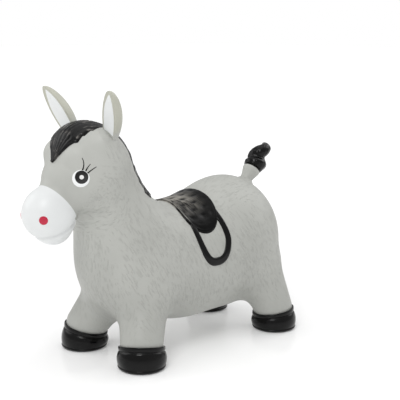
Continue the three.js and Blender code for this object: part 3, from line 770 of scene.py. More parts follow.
class Nodes:
    """A tree of shader nodes under construction."""

    def __init__(self, tree: bpy.types.NodeTree) -> None:
        """Empties the tree."""
        self.tree = tree
        self.tree.nodes.clear()

    def node(
        self,
        kind: str,
        settings: dict[str, Any] | None = None,
        sockets: dict[str | int, Any] | None = None,
        output: str | int = 0,
    ) -> Wire:
        """Adds a node.

        Args:
            kind: The node's type.
            settings: Its settings, which are set first.
            sockets: Values or links for its inputs.
            output: Which output to give back.

        Returns:
            That output.
        """
        made = self.tree.nodes.new(kind)
        for key, value in (settings or {}).items():
            setattr(made, key, value)
        for key, value in (sockets or {}).items():
            if isinstance(value, Wire):
                self.tree.links.new(value.socket, made.inputs[key])
            else:
                made.inputs[key].default_value = value
        return Wire(self, made.outputs[output] if made.outputs else made.inputs[0])


class Finish(Nodes):
    """A material under construction: its nodes and the sums between them."""

    def __init__(self, name: str) -> None:
        """Starts an empty material.

        Args:
            name: Its name.
        """
        self.material = bpy.data.materials.new(name)
        self.material.use_nodes = True
        super().__init__(self.material.node_tree)

    def place(self) -> Wire:
        """The point's place in the frame."""
        return self.node("ShaderNodeTexCoord", output="Object")

    def noted(self, name: str, vector: bool = False) -> Wire:
        """A number or vector that is stored on the piece's points."""
        settings = {"attribute_name": name}
        return self.node("ShaderNodeAttribute", settings, output="Vector" if vector else "Fac")

    def vector(self, x: Wire | float, y: Wire | float, z: Wire | float) -> Wire:
        """A vector of three numbers."""
        return self.node("ShaderNodeCombineXYZ", {}, {0: x, 1: y, 2: z})

    def noise(self, vector: Wire, scale: float, detail: float = 2.0) -> Wire:
        """Soft noise from 0 to 1."""
        sockets = {"Vector": vector, "Scale": scale, "Detail": detail}
        return self.node("ShaderNodeTexNoise", {}, sockets, "Fac")

    def specks(self, scale: float, detail: float = 2.0) -> Wire:
        """Soft noise from 0 to 1 over the frame, by specks per metre."""
        return self.noise(self.place(), scale, detail)

    def mix(self, share: Wire | float, first: Any, second: Any) -> Wire:
        """A colour between two colours."""
        sockets = {0: share, 6: first, 7: second}
        return self.node("ShaderNodeMix", {"data_type": "RGBA"}, sockets, 2)

    def coat(
        self,
        colour: Any,
        roughness: Any,
        height: Wire | None,
        relief: float,
        specular: float = 0.5,
        **constants: Any,
    ) -> Material:
        """Ends the material with its surface.

        Args:
            colour: Base colour.
            roughness: Roughness.
            height: Bump height from 0 to 1, where there is any.
            relief: What a height of 1 stands for, in millimetres.
            specular: Strength of its reflections.
            constants: Other sockets of the surface, with underscores for spaces.

        Returns:
            The material.
        """
        sockets: dict[str | int, Any] = {
            "Base Color": colour, "Roughness": roughness, "Specular IOR Level": specular
        }
        sockets |= {key.replace("_", " "): value for key, value in constants.items()}
        if height is not None:
            bump = {"Strength": 1.0, "Distance": relief * MM, "Height": height}
            sockets["Normal"] = self.node("ShaderNodeBump", {}, bump)
        surface = self.node("ShaderNodeBsdfPrincipled", {}, sockets)
        self.node("ShaderNodeOutputMaterial", {}, {"Surface": surface})
        return self.material


# Finishes
#
# Clouds, specks, smears, patches and peel bumps are counted per metre. Edges are the levels of
# noise between which a change runs. A dulling adds to the roughness and a sheen takes from it.
# A relief is the depth in millimetres that a bump height of 1 stands for


@dataclass(frozen=True)
class SkinFinish:
    """Grey PVC with moulded hair strokes, painted darker as shade in their grooves, and a white
    muzzle.

    Strokes are counted per metre across their length, along it and through the skin. They lean
    back by the slant as they run down, and the curl is metres of whorl for each radian.
    """

    grey: Tint = linear(179, 180, 175)
    dull: Tint = linear(172, 173, 168)
    stroke: Tint = linear(138, 139, 133)
    white: Tint = linear(225, 227, 227)
    white_dull: Tint = linear(220, 222, 222)
    across: float = 420.0
    along: float = 78.0
    through: float = 50.0
    slant: float = 0.5
    curl: float = 0.075
    stroke_edges: Span = (0.55, 0.66)
    stroke_share: float = 0.2
    paint_blur: float = 0.0004
    cloud: float = 9.0
    roughness: float = 0.5
    paint_sheen: float = 0.12
    relief: float = 0.42
    specular: float = 0.42

    def strokes(self, finish: Finish) -> Wire:
        """Makes short strokes that run down the sides, along the spine and round the cheeks.

        Args:
            finish: The material under construction.

        Returns:
            1 in a stroke and 0 beside it.
        """
        x, y, z = finish.place().parts()
        fine, coarse, deep = self.across, self.along, self.through
        lean = y + z * self.slant
        whorl_y, whorl_z = (float(value) for value in spot(CHEEK)[1:])
        dy, dz = y - whorl_y, z - whorl_z
        reach, turn = (dy * dy + dz * dz).root(), dz.angle(dy) * self.curl
        fields = (
            (x * deep, lean * fine, z * coarse),
            (x * fine, lean * deep, z * coarse),
            (x * fine, y * coarse, z * deep),
            (reach * fine, turn * coarse, x * deep),
        )
        side, front, spine, whorl = (finish.noise(finish.vector(*f), 1.0, 1.0) for f in fields)
        flank = front.toward(side, finish.noted("on_side"))
        body = flank.toward(spine, finish.noted("over_back"))
        return body.toward(whorl, finish.noted("on_cheek")).step(*self.stroke_edges)

    def material(self) -> Material:
        """Makes the material.

        Returns:
            The material.
        """
        finish = Finish("moulded_grey_skin")
        strokes = self.strokes(finish) * finish.noted("furry")
        painted = finish.noted("paint_line").step(-self.paint_blur, self.paint_blur)
        cloud = finish.specks(self.cloud, 3.0).step(*CLOUD_EDGES)
        grain = finish.specks(GRAIN)
        grey = finish.mix(cloud, self.grey, self.dull)
        # The strokes are painted darker: painted shade in their grooves, on top of their bump
        grey = finish.mix(strokes * self.stroke_share, grey, self.stroke)
        white = finish.mix(cloud, self.white, self.white_dull)
        colour = finish.mix(painted, grey, white)
        roughness = self.roughness - painted * self.paint_sheen
        roughness = roughness + (grain - 0.5) * GRAIN_ROUGHNESS
        height = grain * GRAIN_HEIGHT - strokes * (1.0 - painted)
        return finish.coat(colour, roughness, height, self.relief, self.specular)


@dataclass(frozen=True)
class EarFinish:
    """Ear PVC, a little warmer than the skin, with a white painted hollow."""

    grey: Tint = linear(183, 183, 170)
    dull: Tint = linear(177, 177, 165)
    root: Tint = linear(178, 179, 174)
    white: Tint = linear(226, 228, 228)
    paint_blur: float = 0.0003
    cloud: float = 22.0
    roughness: float = 0.48
    relief: float = 0.5
    specular: float = 0.42

    def material(self) -> Material:
        """Makes the material.

        Returns:
            The material.
        """
        finish = Finish("ear_skin")
        painted = finish.noted("paint_line").step(-self.paint_blur, self.paint_blur)
        cloud = finish.specks(self.cloud).step(*CLOUD_EDGES)
        grain = finish.specks(GRAIN)
        plain = finish.mix(cloud, self.grey, self.dull)
        plain = finish.mix(finish.noted("root"), plain, self.root)
        colour = finish.mix(painted, plain, self.white)
        roughness = self.roughness + (grain - 0.5) * GRAIN_ROUGHNESS
        height = grain * GRAIN_HEIGHT
        return finish.coat(colour, roughness, height, self.relief, self.specular)


@dataclass(frozen=True)
class BlackFinish:
    """Glossy black paint on PVC, with a soft orange-peel surface and a little dust."""

    name: str
    black: Tint = linear(7, 7, 7)
    dust: Tint = linear(15, 15, 14)
    dust_share: float = 0.6
    peel: float = 260.0
    smear: float = 34.0
    smear_edges: Span = (0.45, 0.8)
    gloss: float = 0.18
    smear_dulling: float = 0.12
    relief: float = 0.12
    specular: float = 0.22

    def material(self) -> Material:
        """Makes the material.

        Returns:
            The material.
        """
        finish = Finish(self.name)
        peel = finish.specks(self.peel)
        smear = finish.specks(self.smear, 4.0).step(*self.smear_edges)
        colour = finish.mix(smear * self.dust_share, self.black, self.dust)
        roughness = self.gloss + smear * self.smear_dulling
        return finish.coat(colour, roughness, peel, self.relief, self.specular)


@dataclass(frozen=True)
class HairFinish:
    """Black painted hair, streaked lighter in patches along its ridges as painted highlights."""

    black: Tint = linear(7, 7, 7)
    rubbed: Tint = linear(124, 120, 116)
    rubbed_share: float = 0.8
    ridge_edges: Span = (0.35, 0.95)
    patch: float = 60.0
    patch_edges: Span = (0.5, 0.68)
    peel: float = 400.0
    gloss: float = 0.2
    rubbed_dulling: float = 0.16
    relief: float = 0.15
    specular: float = 0.22

    def material(self) -> Material:
        """Makes the material.

        Returns:
            The material.
        """
        finish = Finish("black_hair")
        patch = finish.specks(self.patch).step(*self.patch_edges)
        # Lighter streaks in patches along the ridges: painted highlights
        rubbed = finish.noted("ridge").step(*self.ridge_edges) * patch
        peel = finish.specks(self.peel)
        colour = finish.mix(rubbed * self.rubbed_share, self.black, self.rubbed)
        roughness = self.gloss + rubbed * self.rubbed_dulling
        return finish.coat(colour, roughness, peel, self.relief, self.specular)


@dataclass(frozen=True)
class SaddleFinish:
    """Black painted saddle, dry-brushed grey over its top, with dark dimples."""

    black: Tint = linear(7, 7, 7)
    brushed: Tint = linear(162, 158, 150)
    bare: Tint = linear(168, 168, 162)
    across: float = 420.0
    along: float = 60.0
    patch: float = 34.0
    streak_share: float = 0.75
    patch_share: float = 0.55
    worn_edges: Span = (0.42, 0.82)
    peel: float = 300.0
    gloss: float = 0.26
    worn_dulling: float = 0.2
    peel_height: float = 0.4
    streak_height: float = 0.6
    relief: float = 0.25
    specular: float = 0.1

    def material(self) -> Material:
        """Makes the material.

        Returns:
            The material.
        """
        finish = Finish("brushed_saddle")
        x, y, z = finish.place().parts()
        axes = finish.vector(x * self.along, y * self.across, z * self.along)
        streak = finish.noise(axes, 1.0, 3.0)
        brush = streak * self.streak_share + finish.specks(self.patch) * self.patch_share
        top = finish.noted("worn")
        worn = top * brush.step(*self.worn_edges) * (1.0 - finish.noted("dimple"))
        colour = finish.mix(worn, self.black, self.brushed)
        colour = finish.mix(finish.noted("bare"), colour, self.bare)
        roughness = self.gloss + worn * self.worn_dulling
        height = finish.specks(self.peel) * self.peel_height + streak * top * self.streak_height
        return finish.coat(colour, roughness, height, self.relief, self.specular)


@dataclass(frozen=True)
class EyeFinish:
    """A white eye with a black iris and a white glint, painted on a low dome."""

    radius: float
    iris: float = 11.6
    iris_at: tuple[float, float] = (1.2, 2.5)
    glint: float = 3.7
    blur: float = 0.25
    wobble: float = 0.5
    wobbles: float = 160.0
    white: Tint = linear(236, 238, 238)
    black: Tint = linear(8, 8, 8)
    silver: Tint = linear(228, 228, 227)
    peel: float = 500.0
    gloss: float = 0.3
    iris_sheen: float = 0.1
    relief: float = 0.12
    specular: float = 0.5

    def material(self) -> Material:
        """Makes the material.

        Returns:
            The material.
        """
        finish = Finish("painted_eye")
        u, v, _ = finish.noted("flat", vector=True).parts()
        dx, dz = u * self.radius - self.iris_at[0], v * self.radius - self.iris_at[1]
        wobble = (finish.specks(self.wobbles) - 0.5) * self.wobble
        reach = (dx * dx + dz * dz).root() + wobble
        iris, glint = (
            1.0 - reach.step(edge - self.blur, edge + self.blur)
            for edge in (self.iris, self.glint)
        )
        colour = finish.mix(iris, self.white, self.black)
        colour = finish.mix(glint, colour, self.silver)
        roughness = self.gloss - iris * self.iris_sheen
        peel = finish.specks(self.peel)
        return finish.coat(colour, roughness, peel, self.relief, self.specular)


@dataclass(frozen=True)
class PlainFinish:
    """One paint or plastic with a light cloud and an orange-peel surface."""

    name: str
    main: Tint
    other: Tint
    gloss: float
    cloud: float = 120.0
    cloud_dulling: float = 0.08
    peel: float = 500.0
    relief: float = 0.15

    def material(self) -> Material:
        """Makes the material.

        Returns:
            The material.
        """
        finish = Finish(self.name)
        cloud = finish.specks(self.cloud, 3.0).step(*CLOUD_EDGES)
        peel = finish.specks(self.peel)
        colour = finish.mix(cloud, self.main, self.other)
        return finish.coat(colour, self.gloss + cloud * self.cloud_dulling, peel, self.relief)


# Pieces
#
# Sizes are in millimetres and angles in degrees. A share is a part of 1, and a span gives the two
# places between which a change runs


@dataclass(frozen=True)
class Crease:
    """A moulded line in the skin, on both sides of the toy.

    Attributes:
        path: Its corners on the left side.
        width: Half its width in millimetres.
        sink: Its depth in millimetres.
    """

    path: tuple[Place, ...]
    width: float
    sink: float

    def cut(self, points: Points) -> Points:
        """Measures how deep the line sinks the skin.

        Args:
            points: Points on the plain form.

        Returns:
            The depth at each, in metres.
        """
        corners = SKIN.settled(np.array([spot(place) for place in self.path]))
        left = on_left(points)
        gaps = [along_line(left, start, end)[1] for start, end in zip(corners, corners[1:])]
        return self.sink * MM * hump(np.min(gaps, axis=0), self.width * MM)


@dataclass
class Skin:
    """The blown-up skin: barrel, neck, head, muzzle and legs in one moulding."""

    voxel: float = 5.8
    segments: int = 32
    creases: tuple[Crease, ...] = (
        Crease(((0, 352, 256), (20, 345, 257), (28, 335, 259), (35, 320, 265), (37, 304, 273),
                (34, 289, 280)), 3.0, 4.2),
        Crease(((35, 288, 280), (42, 274, 282), (52, 258, 286), (60, 244, 292)), 7.0, 4.4),
        Crease(((36, 287, 284), (42, 283, 297), (47, 279, 309)), 2.4, 1.0),
        Crease(((41, 283, 284), (47, 278, 296), (51, 275, 306)), 2.4, 0.8),
    )
    nostril_swell: Place = (31.5, 357, 293)
    swell_rise: float = 1.3
    swell_reach: float = 13.0
    muzzle_line: Place = (0, 308, 315)
    muzzle_lean: float = -38.0
    paint_back: float = 266.0
    side_slope: Span = (0.45, 0.75)
    back_slope: Span = (0.45, 0.8)
    poll_line: Span = (225.0, 265.0)
    poll_slant: float = 0.25
    cheek_ring: Span = (52.0, 86.0)
    face_line: Span = (268.0, 288.0)
    face_slant: float = 0.35
    face_height: float = 320.0
    crown_line: Span = (400.0, 425.0)
    ankle_line: Span = (55.0, 95.0)
    ankle_fur: float = 0.35
    nodes: tuple[str, ...] = (
        "barrel_skin", "neck_skin", "head_skin", "muzzle_skin",
        "leg_front_left", "leg_front_right", "leg_hind_left", "leg_hind_right",
    )

    def ball(self, place: Points, **sizes: Any) -> Piece:
        """Adds a ball to the rough mesh at a place in metres."""
        return Bench.sphere("ball", self.segments, self.segments // 2, location=place, **sizes)

    def rough(self) -> Piece:
        """Joins plain masses and limbs, and meshes them as one.

        Returns:
            The rough skin.
        """
        made = []
        for mass in SKIN.masses():
            made.append(self.ball(spot(mass.middle), scale=np.array(mass.radii) * MM))
        for limb in SKIN.limbs():
            for side in Side if limb.paired else [Side.LEFT]:
                made += self.rough_limb(limb, side)
        Bench.clear()
        for piece in made:
            piece.select_set(True)
        bpy.context.view_layer.objects.active = made[0]
        bpy.ops.object.join()
        bpy.ops.object.transform_apply(location=True, rotation=True, scale=True)
        skin = made[0]
        skin.name = skin.data.name = "blown_skin"
        Bench.modify(skin, "REMESH", mode="VOXEL", voxel_size=self.voxel * MM)
        return skin

    def rough_limb(self, limb: Limb, side: Side) -> list[Piece]:
        """Adds a cone with round ends for one limb.

        Args:
            limb: The limb.
            side: Its side, or the left for a limb in the middle.

        Returns:
            The pieces added.
        """
        flip = np.array([side.value, 1.0, 1.0])
        start, end = spot(limb.start) * flip, spot(limb.end) * flip
        along = Vector(end - start)
        first, last = limb.start_radius * MM, limb.end_radius * MM
        cone = Bench.added(
            "cone", bpy.ops.mesh.primitive_cone_add, vertices=self.segments, radius1=first,
            radius2=last, depth=along.length, location=(start + end) / 2,
            rotation=along.to_track_quat("Z", "Y").to_euler(),
        )
        return [cone, self.ball(start, radius=first), self.ball(end, radius=last)]

    def moulded(self, points: Points) -> Points:
        """Sinks the creases and swells the nostrils.

        Args:
            points: Points on the plain form.

        Returns:
            Points of the finished skin.
        """
        out = SKIN.outward(points)
        sunk = sum(crease.cut(points) for crease in self.creases)
        gap = np.linalg.norm(on_left(points) - spot(self.nostril_swell), axis=1)
        swell = self.swell_rise * MM * hump(gap, self.swell_reach * MM)
        return points + out * (swell - sunk)[:, None]

    def note(self, skin: Piece, points: Points) -> None:
        """Stores where paint, hair strokes and their directions lie.

        Args:
            skin: The skin.
            points: Its points on the plain form.
        """
        lean = math.radians(self.muzzle_lean)
        forward = np.array([0.0, -math.cos(lean), math.sin(lean)])
        before_line = (points - spot(self.muzzle_line)) @ forward
        off_chest = BELLY_MIDDLE - self.paint_back * MM - points[:, 1]
        out = SKIN.outward(points)
        ahead, height = (BELLY_MIDDLE - points[:, 1]) / MM, points[:, 2] / MM
        behind_head = 1.0 - smooth_step(ahead + self.poll_slant * height, *self.poll_line)
        cheek = np.hypot(ahead - CHEEK[1], height - CHEEK[2])
        face = smooth_step(ahead + self.face_slant * (height - self.face_height), *self.face_line)
        crown = smooth_step(height, *self.crown_line)
        ankle = smooth_step(height, *self.ankle_line)
        fur = self.ankle_fur + (1.0 - self.ankle_fur) * ankle
        notes = {
            "paint_line": np.minimum(before_line, off_chest),
            "on_side": smooth_step(np.abs(out[:, 0]), *self.side_slope),
            "over_back": smooth_step(out[:, 2], *self.back_slope) * behind_head,
            "on_cheek": 1.0 - smooth_step(cheek, *self.cheek_ring),
            "furry": (1.0 - face) * (1.0 - crown) * fur,
        }
        for name, values in notes.items():
            Bench.note(skin, name, values)

    def build(self, material: Material) -> None:
        """Makes and dresses the skin.

        Args:
            material: Its material.
        """
        skin = self.rough()
        Bench.move(skin, SKIN.settled(Bench.points(skin), passes=10))
        Bench.modify(skin, "SUBSURF", levels=1, render_levels=1)
        points = SKIN.settled(Bench.points(skin))
        self.note(skin, points)
        Bench.move(skin, self.moulded(points))
        Bench.fit(skin, material, Slot.SKIN, BODY, *self.nodes)


@dataclass
class Hooves:
    """Four glossy cups with a coronet band, a rounded wall, a welt and a flat sole."""

    ankle: float = 40.0
    band: float = 43.4
    wall: float = 46.5
    height: float = 40.0
    coronet_drop: float = 6.0
    tilt_share: float = 0.4
    foot_reach: float = 20.0
    steps: int = 96

    def profile(self) -> list[Corner]:
        """Radius and height of the cup's corners, from the coronet down."""
        ankle, band, wall, foot = self.ankle, self.band, self.wall, -self.height
        return [
            (0, -2), (ankle - 3, -2), (ankle, -0.6), (band - 1.2, 0), (band - 0.3, -0.4),
            (band, -1.4), (band + 0.2, -4), (band, -6.4), (band - 0.6, -7.5),
            (band - 1.8, -8.2), (band - 1.6, -9), (band - 0.2, -9.8), (band + 1.0, -12),
            (wall - 0.8, -16), (wall, -20), (wall - 0.2, -25), (wall - 1.0, -30),
            (wall - 2.4, -32.6), (wall - 2.7, -33.3), (wall - 2.3, -34.1), (wall - 1.6, -34.9),
            (wall - 1.9, -36), (wall - 3.2, -37.8), (wall - 5.4, -39.3), (wall - 9, foot),
            (0, foot),
        ]

    def hoof(self, end: str, leg: Limb) -> Piece:
        """Sets one left hoof on its leg, its coronet leaning with the leg and its sole level.

        Args:
            end: front or hind.
            leg: The leg that it ends.

        Returns:
            The hoof.
        """
        hoof = Bench.turned(f"{end}_left_hoof", self.profile(), self.steps)
        flat = Bench.points(hoof)
        down = Vector((0, 0, -1))
        lean = down.lerp(leg.axis(), self.tilt_share).normalized()
        start = Vector(spot(leg.end)) + lean * self.coronet_drop * MM
        foot = Vector((*(start + lean * self.foot_reach * MM).xy, 0.0))
        share = np.clip(-flat[:, 2] / (self.height * MM), 0.0, 1.0)
        upright = np.c_[flat[:, :2], np.zeros(len(flat))]
        leaning = upright @ np.array(down.rotation_difference(lean).to_matrix()).T
        ease = smooth_step(share, 0.0, 1.0)[:, None]
        middle = np.array(start) + share[:, None] * np.array(foot - start)
        Bench.move(hoof, middle + leaning + ease * (upright - leaning))
        return hoof

    def build(self, material: Material) -> None:
        """Makes and dresses the four hooves."""
        for end, leg in (("front", SKIN.front_leg), ("hind", SKIN.hind_leg)):
            Bench.fit_pair(self.hoof(end, leg), material, Slot.BLACK, f"hoof_{end}")


@dataclass
class Ears:
    """Cupped leaves that grow out of the head."""

    length: float = 98.0
    half_width: float = 18.0
    depth: float = 27.0
    cup: float = 3.0
    fullness: float = 0.9
    root_share: float = 0.1
    roundness: float = 0.52
    splay: float = 25.0
    lean: float = 18.0
    rim: float = 0.82
    paint_root: float = 0.2
    paint_tip: float = 0.93
    paint_taper: float = 0.4
    root_fade: Span = (0.18, 0.36)
    root_sink: float = 10.0
    bend: Span = (-4.0, 16.0)
    segments: int = 72
    rings: int = 64

    def leaf(self, ear: Piece) -> None:
        """Shapes a sphere into an upright leaf and notes its painted hollow.

        Args:
            ear: The sphere.
        """
        t, turn, ring = Bench.unrolled(ear)
        share = self.root_share + (1.0 - self.root_share) * t
        size = np.sin(np.pi * np.minimum(share, 1.0)) ** self.roundness * ring
        cos, sin = np.cos(turn), np.sin(turn)
        width, back = self.half_width * size, self.depth * size
        hollow = self.cup * size * np.sqrt(t) * sin * sin
        across = width * cos
        through = np.where(sin >= 0, back * np.abs(sin) ** self.fullness, hollow)
        along = t * (self.length + self.root_sink) - self.root_sink
        tip = np.clip((self.paint_tip - t) / self.paint_taper, 0.0, 1.0)
        reach = self.rim * width * np.sqrt(1.0 - (1.0 - tip) ** 2)
        inside = np.minimum(reach - np.abs(across), (t - self.paint_root) * self.length * 0.5)
        Bench.note(ear, "paint_line", np.where(sin < -1e-6, inside, -1.0 - back * sin) * MM)
        Bench.note(ear, "root", 1.0 - smooth_step(t, *self.root_fade))
        Bench.move(ear, np.c_[across, through, along] * MM)

    def build(self, material: Material) -> None:
        """Makes and dresses both ears, placed at their roots.

        Args:
            material: Their material.
        """
        left = Bench.sphere("left_ear", self.segments, self.rings)
        self.leaf(left)
        turn = Matrix.Rotation(math.radians(self.splay), 3, "Y")
        turn = turn @ Matrix.Rotation(math.radians(self.lean), 3, "X")
        root = joint_place("left_ear_flex")
        Bench.move(left, Bench.points(left) @ np.array(turn).T + root)
        right = Bench.mirrored(left, "right_ear")
        for side, ear in ((Side.LEFT, left), (Side.RIGHT, right)):
            Bench.dress(ear, material, Slot.EAR)
            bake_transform(ear)
            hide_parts(f"ear_{side.word}")


@dataclass
class Tail:
    """A stub that flares out of the rump, and a twisted black tuft."""

    lift: float = 48.0
    stub: float = 34.0
    root_sink: float = 12.0
    waist: float = 13.0
    stub_end: float = 19.0
    flare: Span = (0.4, 0.97)
    end_power: int = 24
    stub_fur: float = 0.3
    bend: Span = (-6.0, 16.0)
    tuft: float = 67.0
    tuft_gap: float = 0.3
    collar: float = 0.4
    girth: float = 23.0
    taper: float = 0.36
    taper_span: Span = (0.42, 0.92)
    tip_from: float = 0.83
    edge_share: float = 0.02
    turns: float = 1.5
    groove: float = 0.22
    groove_width: float = 0.3
    groove_from: float = 0.35
    groove_span: Span = (0.08, 0.26)
    strand: float = 0.35
    strand_span: Span = (0.02, 0.2)
    sway: float = 2.4
    sway_from: float = 0.85
    sway_span: Span = (0.1, 0.4)

    def along(self, points: Points) -> Points:
        """Turns upright points into the tail's direction at its root."""
        turn = Matrix.Rotation(math.radians(self.lift - 90.0), 3, "X")
        return points * MM @ np.array(turn).T + joint_place("tail_flex")

    def stub_piece(self) -> Piece:
        """Shapes a sphere into the stub.

        Returns:
            The stub.
        """
        stub = Bench.sphere("tail_root", 48, 32)
        t, turn, ring = Bench.unrolled(stub)
        radius = self.waist + (self.stub_end - self.waist) * smooth_step(t, *self.flare)
        ends = np.sqrt(np.clip(1.0 - (2.0 * t - 1.0) ** self.end_power, 0.0, 1.0))
        radius = radius * ends * ring
        height = t * (self.stub + self.root_sink) - self.root_sink
        Bench.move(stub, self.along(np.c_[radius * np.cos(turn), radius * np.sin(turn), height]))
        return stub

    def tuft_piece(self) -> Piece:
        """Shapes a sphere into the tuft, with a groove that winds up it.

        Returns:
            The tuft.
        """
        tuft = Bench.sphere("tail_swirl", 96, 96)
        t, turn, ring = Bench.unrolled(tuft)
        swell = self.stub_end + self.collar
        swell = swell + (self.girth - swell) * np.sin(np.pi * np.clip(t * 2.0, 0.0, 1.0))
        swell = swell * (1.0 - self.taper * smooth_step(t, *self.taper_span))
        round_end = np.clip((t - self.tip_from) / (1.0 - self.tip_from), 0.0, 1.0)
        cap = np.sqrt(1.0 - round_end**2) * np.sqrt(np.clip(t / self.edge_share, 0.0, 1.0))
        phase = self.turns * t - turn / (2.0 * np.pi) + self.groove_from
        away = np.abs(phase - np.round(phase)) * 2.0
        dip = self.groove * hump(away, self.groove_width) * smooth_step(t, *self.groove_span)
        hair = strands(turn * 6.0 / np.pi + 3.0 * t) * smooth_step(t, *self.strand_span)
        radius = (swell * (1.0 - dip) + self.strand * hair) * cap * ring
        height = self.stub + self.tuft_gap + t * self.tuft
        Bench.note(tuft, "ridge", np.clip(0.4 * (1.0 - dip * 4.0), 0.0, 1.0))
        wind = 2.0 * np.pi * (self.turns * t + self.sway_from)
        aside = self.sway * smooth_step(t, *self.sway_span)
        x = radius * np.cos(turn) + aside * np.cos(wind)
        y = radius * np.sin(turn) + aside * np.sin(wind)
        Bench.move(tuft, self.along(np.c_[x, y, height]))
        return tuft

    def build(self, skin: Material, hair: Material) -> None:
        """Makes and dresses the stub and the tuft.

        Args:
            skin: The stub's material.
            hair: The tuft's material.
        """
        stub = self.stub_piece()
        for name, value in (("furry", self.stub_fur), ("paint_line", -1.0)):
            Bench.note(stub, name, np.full(len(stub.data.vertices), value))
        Bench.dress(stub, skin, Slot.SKIN)
        start, end = self.along(np.array([[0.0, 0.0, reach] for reach in self.bend]))
        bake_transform(stub)
        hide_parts("tail_stub")
        Bench.fit(self.tuft_piece(), hair, Slot.BLACK, "tail", "tail_tuft")


@dataclass
class Hair:
    """The mane along the back of the neck, and the forelock from the poll to the forehead."""

    rise: float = 3.0
    forelock_rise: float = 3.5
    thickness: float = 3.0
    strand: float = 0.75
    forelock_strand: float = 0.7
    edge_power: int = 9
    end_share: float = 0.03
    lock_turn: float = 0.86
    locks: int = 6
    lock_reach: float = 10.0
    half_angle: float = 42.0
    crown_half_angle: float = 24.0
    crown_angle: float = 84.0
    neck_share: float = 0.6
    start: float = 0.54
    forelock_half_angle: float = 30.0
    forelock_from: float = -5.0
    forelock_to: float = 82.0
    forelock_tip_share: float = 0.45
    forelock_tip: float = 1.0
    forelock_locks: int = 5
    forelock_lock_reach: float = 2.0
    ridge: Points = field(default_factory=lambda: np.zeros(1))

    def saw(self, value: Points) -> Points:
        """Rises from -0.5 to 0.5 over most of each lock, then drops back.

        Args:
            value: How far along the edge each point lies, in locks.

        Returns:
            The height of the lock at each.
        """
        share, turn = value - np.floor(value), self.lock_turn
        return np.where(share < turn, share / turn, (1.0 - share) / (1.0 - turn)) - 0.5

    def fall(self, across: Points, to_end: Points) -> Points:
        """Grades a sheet's rise at its edges and at one end, by shares of its size."""
        end = np.maximum(1.0 - to_end / self.end_share, 0.0)
        return np.minimum(edge_fall(across, self.edge_power), edge_fall(end, 2))

    def mane_lay(self, u: Points, v: Points) -> Points:
        """Finds the places of the mane's points.

        Args:
            u: Places across it, from -1 to 1.
            v: Places up the neck and over the crown.

        Returns:
            The places, in metres.
        """
        t = (v + 1.0) / 2.0
        base, top = spot(SKIN.neck.start), spot(SKIN.neck.end)
        axis = top - base
        neck_lean = math.atan2(-axis[1], axis[2])
        over = np.maximum((t - self.neck_share) / (1.0 - self.neck_share), 0.0)
        up_neck = np.minimum(self.start + (1.0 - self.start) * t / self.neck_share, 1.0)
        lean = neck_lean + np.radians(self.crown_angle) * over
        narrowing = (self.half_angle - self.crown_half_angle) * np.minimum(2.0 * over, 1.0)
        lock = self.lock_reach * self.saw(t * self.locks) * (1.0 - over)
        angle = np.radians((self.half_angle - narrowing + lock) * u)
        origins = base + up_neck[:, None] * axis
        rays = np.c_[np.sin(angle), np.cos(angle) * np.cos(lean), np.cos(angle) * np.sin(lean)]
        self.ridge = strands(np.abs(u) * 5.5 + t * self.locks * 1.5)
        level = (self.rise + self.strand * self.ridge) * self.fall(u, t)
        return SKIN.raised(origins, rays, level * MM)

    def forelock_lay(self, u: Points, v: Points) -> Points:
        """Finds the places of the forelock's points.

        Args:
            u: Places across it, from -1 to 1.
            v: Places from its tip back to the poll.

        Returns:
            The places, in metres.
        """
        t = (1.0 - v) / 2.0
        pitch = np.radians(self.forelock_from + t * (self.forelock_to - self.forelock_from))
        narrow = np.minimum((1.0 - t) / self.forelock_tip_share, 1.0)
        lock = self.forelock_lock_reach * self.saw(t * self.forelock_locks)
        half_angle = (self.forelock_half_angle + lock) * narrow + self.forelock_tip
        angle = np.radians(half_angle * u)
        rays = np.c_[np.sin(angle), -np.cos(angle) * np.sin(pitch), np.cos(angle) * np.cos(pitch)]
        origins = np.tile(spot(SKIN.cranium.middle), (len(t), 1))
        self.ridge = strands(u * 4.5 + 0.8 * np.sin(5.0 * t) + 2.0 * t)
        strand = self.forelock_strand * self.ridge * np.minimum(narrow * 2.0, 1.0)
        level = (self.forelock_rise + strand) * self.fall(u, 1.0 - t)
        return SKIN.raised(origins, rays, level * MM)

    def build(self, material: Material) -> None:
        """Makes and dresses the mane and the forelock.

        Args:
            material: Their material.
        """
        sheets = (
            ("neck_mane", "mane", 64, 220, self.mane_lay),
            ("brow_forelock", "forelock", 56, 150, self.forelock_lay),
        )
        for name, node, columns, rows, lay in sheets:
            hair = drape(name, columns, rows, lay, self.thickness)
            both = np.resize(self.ridge, len(hair.data.vertices))
            Bench.note(hair, "ridge", np.clip(0.5 + 0.5 * both, 0.0, 1.0))
            Bench.fit(hair, material, Slot.BLACK, BODY, node)


